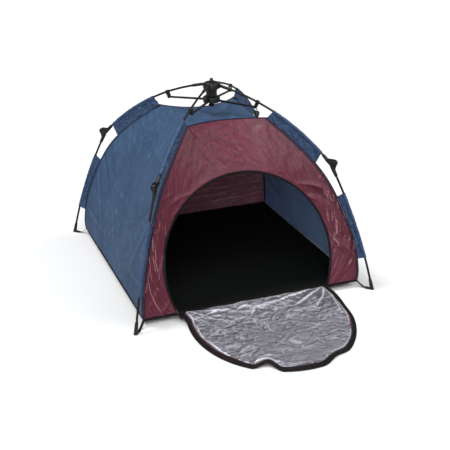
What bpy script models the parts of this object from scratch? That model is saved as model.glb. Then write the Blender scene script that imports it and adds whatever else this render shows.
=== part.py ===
"""Dog tent on an umbrella frame.

Four jointed poles stand outside the fabric and fold down from a hub, with struts to a sliding runner.
The front is a zipped door whose flap lies open on the ground. Metres, +Z up, the door towards -Y, and
the origin on the ground under the hub.
"""

import math

import bmesh
import bpy
from mathutils import Matrix, Vector

# Pole line, in the upright plane of each pole: radius from the hub's axis, and height
POLE_AZIMUTH = math.radians(46.0)
HUB_PIVOT = Vector((0.025, 0.600))
ELBOW = Vector((0.4025, 0.3925))
FOOT = Vector((0.556, 0.0))
UPPER_BOW = 0.035
LOWER_BOW = 0.014
POLE_RADIUS = 0.0034
POLE_STEPS = 18
LOWER_POLE_STEPS = 10

# Clearances
FABRIC_GAP = 0.0003
POLE_CLEARANCE = 0.00035
PIN_CLEARANCE = 0.0004
SLOT_CLEARANCE = 0.0004
SEAT_GAP = 0.0003

# Hub
CROWN_RADIUS = 0.027
CROWN_FLANGE_HEIGHT = 0.0225
CROWN_ROOF = 0.0052
COLUMN_RADIUS = 0.0175
COLUMN_LENGTH = 0.0252
SOCKET_RADIUS = 0.0086
SOCKET_DEPTH = 0.0167
CAP_RADIUS = 0.0068
CAP_HEIGHT = 0.0100
HUB_SLOT_FLOOR = 0.0200
HUB_PIN_RADIUS = 0.0013
HUB_PIN_REACH = 0.0075

# Runner and its knob
RUNNER_RADIUS = CROWN_RADIUS
RUNNER_HEIGHT = 0.0180
RUNNER_PIVOT_LIFT = 0.0070
RUNNER_CORE_RADIUS = 0.0155
STEM_CLEARANCE = 0.0006
STEM_LENGTH = 0.0150
KNOB_RADIUS = 0.0100
KNOB_HEIGHT = 0.0137

# Root ferrule of each upper pole
FERRULE_RADIUS = 0.0048
FERRULE_LENGTH = 0.0420
FERRULE_BORE_START = 0.0140
EYE_RADIUS = 0.0046
EYE_NECK_RADIUS = 0.0034

# Strut and its clip on the pole
CLIP_ALONG = 0.138
CLIP_DROP = 0.0175
CLIP_RADIUS = 0.0058
CLIP_LENGTH = 0.0120
CLIP_EAR = 0.0020
CLIP_PIN_RADIUS = 0.0012
STRUT_WIDTH = 0.0054
STRUT_EYE_RADIUS = 0.0037
STRUT_TIP_RADIUS = 0.0030
EYE_RIM = 0.0006

# Elbow
KNUCKLE_OFFSET = 0.0110
CHEEK_RADIUS = 0.0105
CHEEK_THICKNESS = 0.0024
TONGUE_HALF_WIDTH = 0.0028
TONGUE_RADIUS = 0.0095
ELBOW_SOCKET_RADIUS = 0.0062
ELBOW_SOCKET_LENGTH = 0.0390
ELBOW_BORE_START = 0.0125
ELBOW_PIN_RADIUS = 0.0015
ELBOW_STOP_GAP = 0.0009

# Foot and corner strap
FOOT_RADIUS = 0.0065
FOOT_HEIGHT = 0.0340
FOOT_BORE_HEIGHT = 0.0100
TOE_REACH = 0.0180
TOE_RADIUS = 0.0060
TOE_HOLE = 0.0028
TOE_THICKNESS = 0.0034
STRAP_WIDTH = 0.0080
STRAP_THICKNESS = 0.0010

# Fabric body: the corner seams hang inside the poles, at these distances along and in from the pole line
SEAM_STATIONS = ((0.187, 0.029), (0.300, 0.037), (0.400, 0.037), (0.490, 0.029), (0.590, 0.021),
                 (0.700, 0.019), (0.790, 0.031), (0.836, 0.046))
FABRIC = 0.0010
EDGE_LIFT = 0.0195
WALL_SAG = 0.018
ROOF_SEAM_CURVE = 0.053
ROOF_SEAM_DROP = 0.007
RIDGE_CURVE = 0.012
RIDGE_DROP = 0.004
FLOOR_FLAT_SHARE = 0.70
FLOOR_INSET = 0.0022
SEAM_ROWS = 12
PANEL_COLUMNS = 8
FLOOR_CELLS = 10

# Sleeves: where they start and end along the pole, and at which rows of the seam, counted from the roof
UPPER_SLEEVE = (0.195, 0.392)
LOWER_SLEEVE = (0.535, 0.752)
UPPER_SLEEVE_SEAM = (0.0, 3.5)
LOWER_SLEEVE_SEAM = (6.0, 9.5)
SLEEVE_FABRIC = 0.0007
SLEEVE_STEPS = 7

# Doorway: a round arch in a plane that leans back
DOOR_LEAN = math.radians(20.0)
DOOR_RADIUS = 0.268
DOOR_CENTRE_RISE = 0.115
DOOR_BASE_INSET = 0.0008
DOOR_BASE_LIFT = 0.0030
TAPE_WIDTH = 0.0080
TAPE_THICKNESS = 0.0012
TAPE_FOOT_TRIM = 0.15
ARCH_SIDE_STEPS = 12
ARCH_TOP_STEPS = 4
PANEL_RINGS = 4

# Door flap, lying open
FLAP_EDGE_INSET = 0.0015
FLAP_TUCK_SHARE = 0.07
FLAP_TUCK_REACH_RIGHT = 0.120
FLAP_TUCK_REACH_LEFT = 0.045
FLAP_SHIFT = 0.014
FLAP_FABRIC = 0.0010
FLAP_DROP_LENGTH = 0.075
FLAP_RIPPLE = 0.0055
FLAP_RIPPLE_PITCH = 0.105

# Buckles of the flap's free edge: angle and half width in degrees, and how far in and how high they
# reach, as shares of the edge's radius
FLAP_BUCKLES = ((121.0, 13.0, 0.054, 0.038), (69.0, 18.0, 0.015, 0.011), (32.0, 34.0, 0.045, 0.004),
                (184.0, 42.0, 0.075, 0.004))
BINDING_WIDTH = 0.0140
BINDING_THICKNESS = 0.0018
GROUND_GAP = 0.0006

# Zip slider and pull
SLIDER_LENGTH = 0.0110
SLIDER_WIDTH = 0.0080
SLIDER_HEIGHT = 0.0028
PULL_LENGTH = 0.0240
PULL_WIDTH = 0.0052
PULL_THICKNESS = 0.0011

# Loop that ties the roof to the front right clip
TIE_RADIUS = 0.0036
TIE_FROM_CLIP = 0.0035
TIE_SEAT_DROP = 0.0022

ROUND_STEPS = 12
CORNERS = {"front_left": (-1, -1), "front_right": (1, -1), "back_left": (-1, 1), "back_right": (1, 1)}
UP = Vector((0.0, 0.0, 1.0))


def clear_scene():
    for old in list(bpy.data.objects):
        bpy.data.objects.remove(old)


def finish(name, colour, roughness, metallic=0.0):
    """A plain Principled material."""
    made = bpy.data.materials.new(name)
    made.use_nodes = True
    shader = made.node_tree.nodes["Principled BSDF"]
    shader.inputs["Base Color"].default_value = (*colour, 1.0)
    shader.inputs["Roughness"].default_value = roughness
    shader.inputs["Metallic"].default_value = metallic
    made.diffuse_color = (*colour, 1.0)
    return made


# Mesh helpers

def mesh_of(bm, name):
    """Closes the bmesh into a mesh with its faces out and its rounds smooth."""
    bmesh.ops.remove_doubles(bm, verts=bm.verts, dist=1e-6)
    bmesh.ops.recalc_face_normals(bm, faces=bm.faces)
    mesh = bpy.data.meshes.new(name)
    bm.to_mesh(mesh)
    bm.free()
    mesh.shade_smooth()
    mesh.set_sharp_from_angle(angle=math.radians(40.0))
    return mesh


def lofted(rings, name, closed_loop=False):
    """A skin over rings of equal counts, capped at both ends, or joined end to end."""
    bm = bmesh.new()
    rows = [[bm.verts.new(point) for point in ring] for ring in rings]
    pairs = list(zip(rows, rows[1:]))
    if closed_loop:
        pairs.append((rows[-1], rows[0]))
    for low, high in pairs:
        for i in range(len(low)):
            j = (i + 1) % len(low)
            bm.faces.new((low[i], low[j], high[j], high[i]))
    if not closed_loop:
        bm.faces.new(rows[0])
        bm.faces.new(rows[-1])
    return mesh_of(bm, name)


def sheet_solid(outer, inner, name):
    """A closed sheet between two grids of points of the same size."""
    bm = bmesh.new()
    top = [[bm.verts.new(point) for point in row] for row in outer]
    base = [[bm.verts.new(point) for point in row] for row in inner]
    rows, columns = len(outer), len(outer[0])
    for i in range(rows - 1):
        for j in range(columns - 1):
            bm.faces.new((top[i][j], top[i][j + 1], top[i + 1][j + 1], top[i + 1][j]))
            bm.faces.new((base[i][j], base[i + 1][j], base[i + 1][j + 1], base[i][j + 1]))
    rim = [(0, j) for j in range(columns)] + [(i, columns - 1) for i in range(1, rows)]
    rim += [(rows - 1, j) for j in range(columns - 2, -1, -1)] + [(i, 0) for i in range(rows - 2, 0, -1)]
    for (i, j), (k, m) in zip(rim, rim[1:] + rim[:1]):
        bm.faces.new((top[i][j], base[i][j], base[k][m], top[k][m]))
    return mesh_of(bm, name)


def combined(base, changes, name):
    """One mesh from a base mesh, after each (mesh, operation) of a list of exact Booleans."""
    body = bpy.data.objects.new(name, base)
    bpy.context.scene.collection.objects.link(body)
    helpers = []
    for mesh, operation in changes:
        helper = bpy.data.objects.new(name + "_helper", mesh)
        bpy.context.scene.collection.objects.link(helper)
        helpers.append(helper)
        step = body.modifiers.new("step", "BOOLEAN")
        step.operation = operation
        step.solver = "EXACT"
        step.object = helper
    bpy.context.view_layer.update()
    evaluated = body.evaluated_get(bpy.context.evaluated_depsgraph_get())
    result = bpy.data.meshes.new_from_object(evaluated)
    result.name = name
    for helper in helpers + [body]:
        bpy.data.objects.remove(helper)
    result.shade_smooth()
    result.set_sharp_from_angle(angle=math.radians(40.0))
    return result


def add(name, mesh, material, parent=None, place=(0.0, 0.0, 0.0), turn=0.0):
    """Puts a mesh in the scene as one named piece."""
    mesh.materials.clear()
    mesh.materials.append(material)
    made = bpy.data.objects.new(name, mesh)
    made.location = place
    made.rotation_euler = (0.0, 0.0, turn)
    made.parent = parent
    bpy.context.scene.collection.objects.link(made)
    return made


def axis_empty(name, place, turn=0.0, parent=None):
    """An empty on a joint's axis, which carries what moves with the joint."""
    made = bpy.data.objects.new(name, None)
    made.empty_display_size = 0.02
    made.location = place
    made.rotation_euler = (0.0, 0.0, turn)
    made.parent = parent
    bpy.context.scene.collection.objects.link(made)
    return made


# The pole line, in (radius, height)

def outward(direction):
    """The unit normal of a direction in the pole's plane, on the side away from the tent."""
    return Vector((-direction.y, direction.x)).normalized()


def arc_between(start, end, bow):
    """Length of a bowed stretch, and a function that gives its point and tangent at a distance along it."""
    chord = end - start
    along = chord.normalized()
    side = outward(along)
    radius = (chord.length_squared / 4 + bow ** 2) / (2 * bow)
    half = math.asin(chord.length / 2 / radius)
    middle = (start + end) / 2

    def at(distance):
        turn = distance / radius - half
        point = middle + along * (radius * math.sin(turn)) + side * (radius * math.cos(turn) - radius + bow)
        return point, along * math.cos(turn) - side * math.sin(turn)

    return 2 * radius * half, at


UPPER_LENGTH, upper_at = arc_between(HUB_PIVOT, ELBOW, UPPER_BOW)
LOWER_LENGTH, lower_at = arc_between(ELBOW, FOOT, LOWER_BOW)


def pole_at(distance):
    """Point and tangent of the whole pole line, at a distance from the hub's pivot."""
    if distance <= UPPER_LENGTH:
        return upper_at(distance)
    return lower_at(distance - UPPER_LENGTH)


def in_plane(point, side=0.0):
    """A point of the pole's plane as x, y, z of the corner's own frame, with x outward."""
    return Vector((point.x, side, point.y))


def corner_azimuth(corner):
    sign_x, sign_y = CORNERS[corner]
    return math.atan2(sign_y * math.sin(POLE_AZIMUTH), sign_x * math.cos(POLE_AZIMUTH))


def to_world(point, corner):
    return Matrix.Rotation(corner_azimuth(corner), 3, "Z") @ point


ELBOW_MEAN = (upper_at(UPPER_LENGTH)[1] + lower_at(0.0)[1]).normalized()
KNUCKLE = ELBOW + outward(ELBOW_MEAN) * KNUCKLE_OFFSET
CLIP_POINT, CLIP_TANGENT = pole_at(CLIP_ALONG)
STRUT_PIVOT = CLIP_POINT - outward(CLIP_TANGENT) * CLIP_DROP
COLUMN_BOTTOM = HUB_PIVOT.y - CROWN_FLANGE_HEIGHT / 2 - COLUMN_LENGTH
RUNNER_TOP = COLUMN_BOTTOM - SEAT_GAP
RUNNER_BOTTOM = RUNNER_TOP - RUNNER_HEIGHT
STRUT_TIP = Vector((HUB_PIVOT.x, RUNNER_BOTTOM + RUNNER_PIVOT_LIFT))


# Shapes about an axis in the pole's plane, relative to a pivot

def ring_about(pivot, origin, direction, along, radius, steps=ROUND_STEPS):
    """A circle square to a direction in the pole's plane, given from the pivot."""
    centre = in_plane(origin + direction * along - pivot)
    side = in_plane(outward(direction))
    across = Vector((0.0, 1.0, 0.0))
    turns = [2 * math.pi * (i + 0.5) / steps for i in range(steps)]
    return [centre + (across * math.cos(t) + side * math.sin(t)) * radius for t in turns]


def turned_about(pivot, origin, direction, profile, name, steps=ROUND_STEPS):
    """A turned solid from (distance along, radius) pairs."""
    return lofted([ring_about(pivot, origin, direction, a, r, steps) for a, r in profile], name)


def cross_pin(pivot, centre, radius, low, high, name="pin", steps=12):
    """A cylinder across the pole's plane."""
    middle = centre - pivot
    turns = [2 * math.pi * (i + 0.5) / steps for i in range(steps)]
    spots = [middle + Vector((math.cos(t), math.sin(t))) * radius for t in turns]
    return lofted([[in_plane(p, low) for p in spots], [in_plane(p, high) for p in spots]], name)


def link_outline(first, first_radius, second, second_radius, steps=6):
    """The outline of two circles and the straight lines that touch both."""
    reach = second - first
    heading = math.atan2(reach.y, reach.x)
    lean = math.acos((first_radius - second_radius) / reach.length)
    points = []
    for centre, radius, start, end in ((second, second_radius, heading - lean, heading + lean),
                                       (first, first_radius, heading + lean, heading - lean + 2 * math.pi)):
        for i in range(steps + 1):
            t = start + (end - start) * i / steps
            points.append(centre + Vector((math.cos(t), math.sin(t))) * radius)
    return points


def plate(pivot, outline, low, high, name="plate"):
    """A flat plate with this outline in the pole's plane."""
    return lofted([[in_plane(p - pivot, low) for p in outline], [in_plane(p - pivot, high) for p in outline]],
                  name)


# Pieces that every corner has

def pole_curve(name, pivot, distances, material, parent):
    """A round rod along the pole line."""
    curve = bpy.data.curves.new(name, "CURVE")
    curve.dimensions = "3D"
    curve.bevel_depth = POLE_RADIUS
    curve.bevel_resolution = 2
    curve.use_fill_caps = True
    spline = curve.splines.new("POLY")
    spline.points.add(len(distances) - 1)
    for spot, distance in zip(spline.points, distances):
        spot.co = (*in_plane(pole_at(distance)[0] - pivot), 1.0)
    spline.use_smooth = True
    curve.materials.append(material)
    made = bpy.data.objects.new(name, curve)
    made.parent = parent
    bpy.context.scene.collection.objects.link(made)


def straight_through(arc_at, middle, from_end=0.0):
    """Where a straight bore starts and heads that meets the bowed pole at a distance along it."""
    point, tangent = arc_at(from_end - middle if from_end else middle)
    heading = -tangent if from_end else tangent
    return point - heading * middle, heading


def root_ferrule_mesh():
    """The eye that turns on the hub's pin, and the socket that holds the pole's root."""
    origin, tangent = straight_through(upper_at, (FERRULE_BORE_START + FERRULE_LENGTH) / 2)
    bore = POLE_RADIUS + POLE_CLEARANCE
    socket = turned_about(HUB_PIVOT, origin, tangent,
                          ((0.0070, 0.0030), (0.0100, FERRULE_RADIUS), (FERRULE_LENGTH * 0.86, FERRULE_RADIUS),
                           (FERRULE_LENGTH, FERRULE_RADIUS - 0.0003), (FERRULE_LENGTH, bore),
                           (FERRULE_BORE_START, bore)), "ferrule_socket")
    eye = plate(HUB_PIVOT, link_outline(HUB_PIVOT, EYE_RADIUS, origin + tangent * 0.0105, EYE_NECK_RADIUS),
                -FERRULE_RADIUS * 0.94, FERRULE_RADIUS * 0.94)
    hole = cross_pin(HUB_PIVOT, HUB_PIVOT, HUB_PIN_RADIUS + PIN_CLEARANCE, -0.02, 0.02)
    return combined(socket, ((eye, "UNION"), (hole, "DIFFERENCE")), "root_ferrule")


def clip_mesh():
    """A collar round the pole with two ears and the strut's pin below it."""
    bore = POLE_RADIUS + POLE_CLEARANCE
    half = CLIP_LENGTH / 2
    ear_in = STRUT_WIDTH / 2 + SLOT_CLEARANCE
    ear_out = ear_in + CLIP_EAR
    collar = turned_about(HUB_PIVOT, CLIP_POINT, CLIP_TANGENT,
                          ((-half, CLIP_RADIUS - 0.0006), (-half + 0.001, CLIP_RADIUS),
                           (half - 0.001, CLIP_RADIUS), (half, CLIP_RADIUS - 0.0006)), "collar")
    outline = link_outline(STRUT_PIVOT, STRUT_EYE_RADIUS + EYE_RIM, CLIP_POINT, CLIP_RADIUS * 0.88)
    changes = [(plate(HUB_PIVOT, outline, ear_in, ear_out), "UNION"),
               (plate(HUB_PIVOT, outline, -ear_out, -ear_in), "UNION"),
               (turned_about(HUB_PIVOT, CLIP_POINT, CLIP_TANGENT, ((-0.02, bore), (0.02, bore)), "bore"),
                "DIFFERENCE"),
               (cross_pin(HUB_PIVOT, STRUT_PIVOT, CLIP_PIN_RADIUS, -ear_out - 0.0006, ear_out + 0.0006),
                "UNION")]
    return combined(collar, changes, "strut_clip")


def strut_mesh():
    """A flat link from the clip's pin to the runner's slot."""
    half = STRUT_WIDTH / 2
    body = plate(STRUT_PIVOT, link_outline(STRUT_TIP, STRUT_TIP_RADIUS, STRUT_PIVOT, half), -half, half)
    eye = cross_pin(STRUT_PIVOT, STRUT_PIVOT, STRUT_EYE_RADIUS, -half + 0.0001, half - 0.0001, "eye", 16)
    hole = cross_pin(STRUT_PIVOT, STRUT_PIVOT, CLIP_PIN_RADIUS + PIN_CLEARANCE, -0.02, 0.02)
    return combined(body, ((eye, "UNION"), (hole, "DIFFERENCE")), "strut")


def socket_profile():
    """Outer shape of an elbow's socket, from the knuckle to its mouth."""
    return ((ELBOW_STOP_GAP, ELBOW_SOCKET_RADIUS - 0.0004), (0.010, ELBOW_SOCKET_RADIUS),
            (0.022, ELBOW_SOCKET_RADIUS - 0.0004), (0.033, ELBOW_SOCKET_RADIUS - 0.0010),
            (ELBOW_SOCKET_LENGTH - 0.001, ELBOW_SOCKET_RADIUS - 0.0010),
            (ELBOW_SOCKET_LENGTH, ELBOW_SOCKET_RADIUS - 0.0014))


def elbow_upper_mesh():
    """The upper pole's end fitting: a socket with two cheeks and the elbow's pin."""
    origin, heading = straight_through(upper_at, (ELBOW_BORE_START + ELBOW_SOCKET_LENGTH) / 2, UPPER_LENGTH)
    bore = POLE_RADIUS + POLE_CLEARANCE
    cheek_in = TONGUE_HALF_WIDTH + SLOT_CLEARANCE
    cheek_out = cheek_in + CHEEK_THICKNESS
    body = turned_about(HUB_PIVOT, origin, heading, socket_profile(), "upper_socket")
    outline = link_outline(KNUCKLE, CHEEK_RADIUS, origin + heading * 0.018, 0.0045, 9)
    changes = [(plate(HUB_PIVOT, outline, cheek_in - 0.0002, cheek_out), "UNION"),
               (plate(HUB_PIVOT, outline, -cheek_out, 0.0002 - cheek_in), "UNION"),
               (turned_about(HUB_PIVOT, origin, heading, ((ELBOW_BORE_START, bore), (0.06, bore)), "bore"),
                "DIFFERENCE"),
               (cross_pin(HUB_PIVOT, KNUCKLE, TONGUE_RADIUS + 2 * SLOT_CLEARANCE, -cheek_in, cheek_in,
                          "slot", 20), "DIFFERENCE"),
               (cross_pin(HUB_PIVOT, KNUCKLE, ELBOW_PIN_RADIUS, -cheek_out - 0.0007, cheek_out + 0.0007),
                "UNION")]
    return combined(body, changes, "elbow_upper")


def elbow_lower_mesh():
    """The lower pole's end fitting: a socket with the tongue that turns between the cheeks."""
    origin, heading = straight_through(lower_at, (ELBOW_BORE_START + ELBOW_SOCKET_LENGTH) / 2)
    bore = POLE_RADIUS + POLE_CLEARANCE
    keep = TONGUE_HALF_WIDTH + SLOT_CLEARANCE / 4
    reach = CHEEK_RADIUS + 2 * SLOT_CLEARANCE
    body = turned_about(KNUCKLE, origin, heading, socket_profile(), "lower_socket")
    outline = link_outline(KNUCKLE, TONGUE_RADIUS, origin + heading * 0.018, 0.0045, 9)
    changes = [(cross_pin(KNUCKLE, KNUCKLE, reach, keep, 0.02, "cheek_room", 20), "DIFFERENCE"),
               (cross_pin(KNUCKLE, KNUCKLE, reach, -0.02, -keep, "cheek_room", 20), "DIFFERENCE"),
               (plate(KNUCKLE, outline, -TONGUE_HALF_WIDTH, TONGUE_HALF_WIDTH), "UNION"),
               (turned_about(KNUCKLE, origin, heading, ((ELBOW_BORE_START, bore), (0.06, bore)), "bore"),
                "DIFFERENCE"),
               (cross_pin(KNUCKLE, KNUCKLE, ELBOW_PIN_RADIUS + PIN_CLEARANCE, -0.02, 0.02, "eye"),
                "DIFFERENCE")]
    return combined(body, changes, "elbow_lower")


def lower_point_at_height(height):
    """Where the lower pole's line crosses a height."""
    low, high = 0.0, LOWER_LENGTH
    for _ in range(40):
        middle = (low + high) / 2
        if lower_at(middle)[0].y > height:
            low = middle
        else:
            high = middle
    return low


def level_ring(point, radius, steps=ROUND_STEPS):
    """A level circle about a point of the pole's plane, given from the knuckle."""
    turns = [2 * math.pi * (i + 0.5) / steps for i in range(steps)]
    centre = in_plane(point - KNUCKLE)
    return [centre + Vector((math.cos(t), math.sin(t), 0.0)) * radius for t in turns]


def foot_mesh():
    """A flat-soled socket on the pole's end, with a ringed toe for the corner strap."""
    bore = POLE_RADIUS + 2 * POLE_CLEARANCE
    top = lower_at(lower_point_at_height(FOOT_HEIGHT))[0]
    waist = lower_at(lower_point_at_height(FOOT_HEIGHT * 0.4))[0]
    seat = lower_at(lower_point_at_height(FOOT_BORE_HEIGHT))[0]
    socket = lofted([level_ring(FOOT, FOOT_RADIUS), level_ring(waist, FOOT_RADIUS - 0.0006),
                     level_ring(top, FOOT_RADIUS - 0.0016), level_ring(top, bore), level_ring(seat, bore)],
                    "foot_socket")
    toe_centre = FOOT - Vector((TOE_REACH, 0.0))
    outline = link_outline(FOOT, FOOT_RADIUS - 0.0012, toe_centre, TOE_RADIUS)
    low, high = 0.0004, TOE_THICKNESS
    flat = [Vector((p.x - KNUCKLE.x, p.y, 0.0)) for p in outline]
    toe = lofted([[p + UP * (z - KNUCKLE.y) for p in flat] for z in (low, high)], "toe")
    hole_spots = level_ring(toe_centre, TOE_HOLE, 12)
    hole = lofted([[p - UP * 0.01 for p in hole_spots], [p + UP * 0.01 for p in hole_spots]], "toe_hole")
    return combined(socket, ((toe, "UNION"), (hole, "DIFFERENCE")), "foot")


# The corner seams

def spline_point(points, share):
    """A point on the smooth curve through a list of points, at a share of its spans."""
    spans = len(points) - 1
    place = min(max(share * spans, 0.0), spans - 1e-9)
    i = int(place)
    t = place - i
    before = points[i - 1] if i > 0 else 2 * points[0] - points[1]
    after = points[i + 2] if i + 2 <= spans else 2 * points[-1] - points[-2]
    a, b = points[i], points[i + 1]
    return 0.5 * (2 * a + (b - before) * t + (2 * before - 5 * a + 4 * b - after) * t ** 2
                  + (3 * a - before - 3 * b + after) * t ** 3)


def seam_line():
    """Points of a corner seam from the roof corner down to the floor corner, in the pole's plane."""
    inner = []
    for distance, gap in SEAM_STATIONS:
        point, tangent = pole_at(distance)
        inner.append(point - outward(tangent) * gap)
    inner[-1].y = EDGE_LIFT
    return [spline_point(inner, i / SEAM_ROWS) for i in range(SEAM_ROWS + 1)]


SEAM = seam_line()
ROOF_CORNER = SEAM[0]
FLOOR_CORNER = SEAM[-1]
ROOF_X = ROOF_CORNER.x * math.cos(POLE_AZIMUTH)
ROOF_Y = ROOF_CORNER.x * math.sin(POLE_AZIMUTH)
FLOOR_X = FLOOR_CORNER.x * math.cos(POLE_AZIMUTH)
FLOOR_Y = FLOOR_CORNER.x * math.sin(POLE_AZIMUTH)


def seam_normal(i):
    """The unit normal of the seam at one of its points, on the tent's side."""
    before, after = SEAM[max(i - 1, 0)], SEAM[min(i + 1, SEAM_ROWS)]
    return -outward((after - before).normalized())


def on_seam(row):
    """A point on the straight spans between the seam's points."""
    place = min(row, SEAM_ROWS - 1e-9)
    i = int(place)
    return SEAM[i].lerp(SEAM[i + 1], place - i)


def sleeve_mesh(pivot, pole_span, seam_span):
    """A fabric tunnel round the pole, with a web in to the corner seam."""
    tunnel = (POLE_RADIUS + POLE_CLEARANCE) / math.cos(math.radians(25.0)) + 0.0001
    skin = tunnel + SLEEVE_FABRIC
    turns = [math.radians(a) for a in (-150, -100, -50, 0, 50, 100, 150)]
    half = SLEEVE_FABRIC / 2
    outer, inner = [], []
    for i in range(SLEEVE_STEPS + 1):
        share = i / SLEEVE_STEPS
        point, tangent = pole_at(pole_span[0] + (pole_span[1] - pole_span[0]) * share)
        side = outward(tangent)
        seam = on_seam(seam_span[0] + (seam_span[1] - seam_span[0]) * share)
        web = (point - seam).normalized()
        near_seam = seam + web * (2 * FABRIC_GAP)
        outer.append([in_plane(point + side * (math.cos(t) * skin) - pivot, math.sin(t) * skin)
                      for t in turns] + [in_plane(near_seam - pivot, half), in_plane(near_seam - pivot, -half)])
        inner.append([in_plane(point + side * (math.cos(t) * tunnel) - pivot, math.sin(t) * tunnel)
                      for t in turns + [math.pi]])
    bm = bmesh.new()
    outer_rows = [[bm.verts.new(p) for p in row] for row in outer]
    inner_rows = [[bm.verts.new(p) for p in row] for row in inner]
    for rows in (outer_rows, inner_rows):
        for low, high in zip(rows, rows[1:]):
            for i in range(len(low)):
                j = (i + 1) % len(low)
                bm.faces.new((low[i], low[j], high[j], high[i]))
    last = len(turns) - 1
    for skin_row, tunnel_row in ((outer_rows[0], inner_rows[0]), (outer_rows[-1], inner_rows[-1])):
        for i in range(last):
            bm.faces.new((skin_row[i], skin_row[i + 1], tunnel_row[i + 1], tunnel_row[i]))
        bm.faces.new((skin_row[last], skin_row[last + 1], skin_row[last + 2], skin_row[0], tunnel_row[0],
                      tunnel_row[last + 1], tunnel_row[last]))
    return mesh_of(bm, "sleeve")


def strap_mesh():
    """A flat strap from the floor's corner to the toe ring."""
    start = FLOOR_CORNER + Vector((2 * FABRIC_GAP, 0.0))
    end = Vector((FOOT.x - TOE_REACH - TOE_RADIUS - SEAT_GAP, TOE_THICKNESS * 0.6))
    rings = []
    for share in (0.0, 0.35, 0.7, 1.0):
        point = start.lerp(end, share) - Vector((0.0, 0.0015 * math.sin(math.pi * share)))
        half = STRAP_WIDTH / 2
        thick = STRAP_THICKNESS / 2
        rings.append([in_plane(point - KNUCKLE + Vector((0.0, z)), t)
                      for t, z in ((-half, -thick), (half, -thick), (half, thick), (-half, thick))])
    return lofted(rings, "corner_strap")


# Fabric panels of the body

def coons(first_side, second_side, base, top):
    """A smooth grid inside four edges: sides run from base to top, and base and top from side to side."""
    rows, columns = len(first_side) - 1, len(base) - 1
    grid = []
    for i in range(rows + 1):
        v = i / rows
        row = []
        for j in range(columns + 1):
            u = j / columns
            across = first_side[i].lerp(second_side[i], u)
            along = base[j].lerp(top[j], v)
            corners = base[0].lerp(base[-1], u).lerp(top[0].lerp(top[-1], u), v)
            row.append(across + along - corners)
        grid.append(row)
    return grid


def grid_normal(grid, i, j, inside):
    """The unit normal of a grid at one point, on the side of a point inside the tent."""
    rows, columns = len(grid) - 1, len(grid[0]) - 1
    along = grid[min(i + 1, rows)][j] - grid[max(i - 1, 0)][j]
    across = grid[i][min(j + 1, columns)] - grid[i][max(j - 1, 0)]
    normal = along.cross(across).normalized()
    return normal if normal.dot(inside - grid[i][j]) > 0 else -normal


def shifted(points, shift):
    return [point + shift for point in points]


def roof_seam(sign_y):
    """The front or back edge of the roof, from the left roof corner to the right one."""
    points = []
    for j in range(PANEL_COLUMNS + 1):
        share = 2 * j / PANEL_COLUMNS - 1
        bend = 1 - share ** 2
        points.append(Vector((share * ROOF_X, sign_y * (ROOF_Y - ROOF_SEAM_CURVE * bend),
                              ROOF_CORNER.y - ROOF_SEAM_DROP * bend)))
    return points


def ridge(sign_x):
    """The soft bend between the roof and a side wall, from the front roof corner to the back one."""
    points = []
    for j in range(PANEL_COLUMNS + 1):
        share = 2 * j / PANEL_COLUMNS - 1
        bend = 1 - share ** 2
        points.append(Vector((sign_x * (ROOF_X - RIDGE_CURVE * bend), share * ROOF_Y,
                              ROOF_CORNER.y - RIDGE_DROP * bend)))
    return points


def corner_seam(corner):
    """A corner seam in the world, from the floor up to the roof."""
    return [to_world(in_plane(point), corner) for point in reversed(SEAM)]


def between(first, second, steps):
    return [first.lerp(second, i / steps) for i in range(steps + 1)]


INSIDE = Vector((0.0, 0.0, 0.20))


def wall_grid(first_corner, second_corner, top, clear):
    """The outer face of a closed wall. Clear moves it off the seams, along the wall."""
    first, second = corner_seam(first_corner), corner_seam(second_corner)
    base = between(first[0], second[0], PANEL_COLUMNS)
    grid = coons(first, second, base, top)
    middle = (first[0] + second[0]) / 2
    inward = (INSIDE - middle) * Vector((1.0, 1.0, 0.0))
    inward.normalize()
    along = (second[0] - first[0]).normalized()
    for i, row in enumerate(grid):
        for j, point in enumerate(row):
            u, v = j / PANEL_COLUMNS, i / SEAM_ROWS
            point += inward * (WALL_SAG * 4 * u * (1 - u) * math.sin(math.pi * min(v * 1.15, 1.0)))
        row[0] += along * clear
        row[-1] -= along * clear
    return grid


def inner_of(grid, first_corner, second_corner, skin):
    """The inner face of a wall, cut along the seams' planes, level at its foot and upright at its top."""
    corner_offset = [in_plane(seam_normal(SEAM_ROWS - i)) for i in range(SEAM_ROWS + 1)]
    inner = []
    for i, row in enumerate(grid):
        made = []
        for j, point in enumerate(row):
            normal = grid_normal(grid, i, j, INSIDE)
            at_side = j in (0, len(row) - 1)
            if i == 0:
                level = Vector((normal.x, normal.y, 0.0))
                offset = level.normalized() * (skin / level.length)
                if at_side:
                    radial = Vector((-point.x, -point.y, 0.0)).normalized()
                    offset = radial * (skin / abs(radial.dot(normal)))
            elif i == len(grid) - 1:
                offset = -UP * (skin / abs(normal.z))
            elif at_side:
                corner = first_corner if j == 0 else second_corner
                direction = to_world(corner_offset[i], corner)
                offset = direction * (skin / abs(direction.dot(normal)))
            else:
                offset = normal * skin
            made.append(point + offset)
        inner.append(made)
    return inner


def closed_wall_mesh(first_corner, second_corner, top, name):
    grid = wall_grid(first_corner, second_corner, top, FABRIC_GAP)
    return sheet_solid(grid, inner_of(grid, first_corner, second_corner, FABRIC), name)


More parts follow.
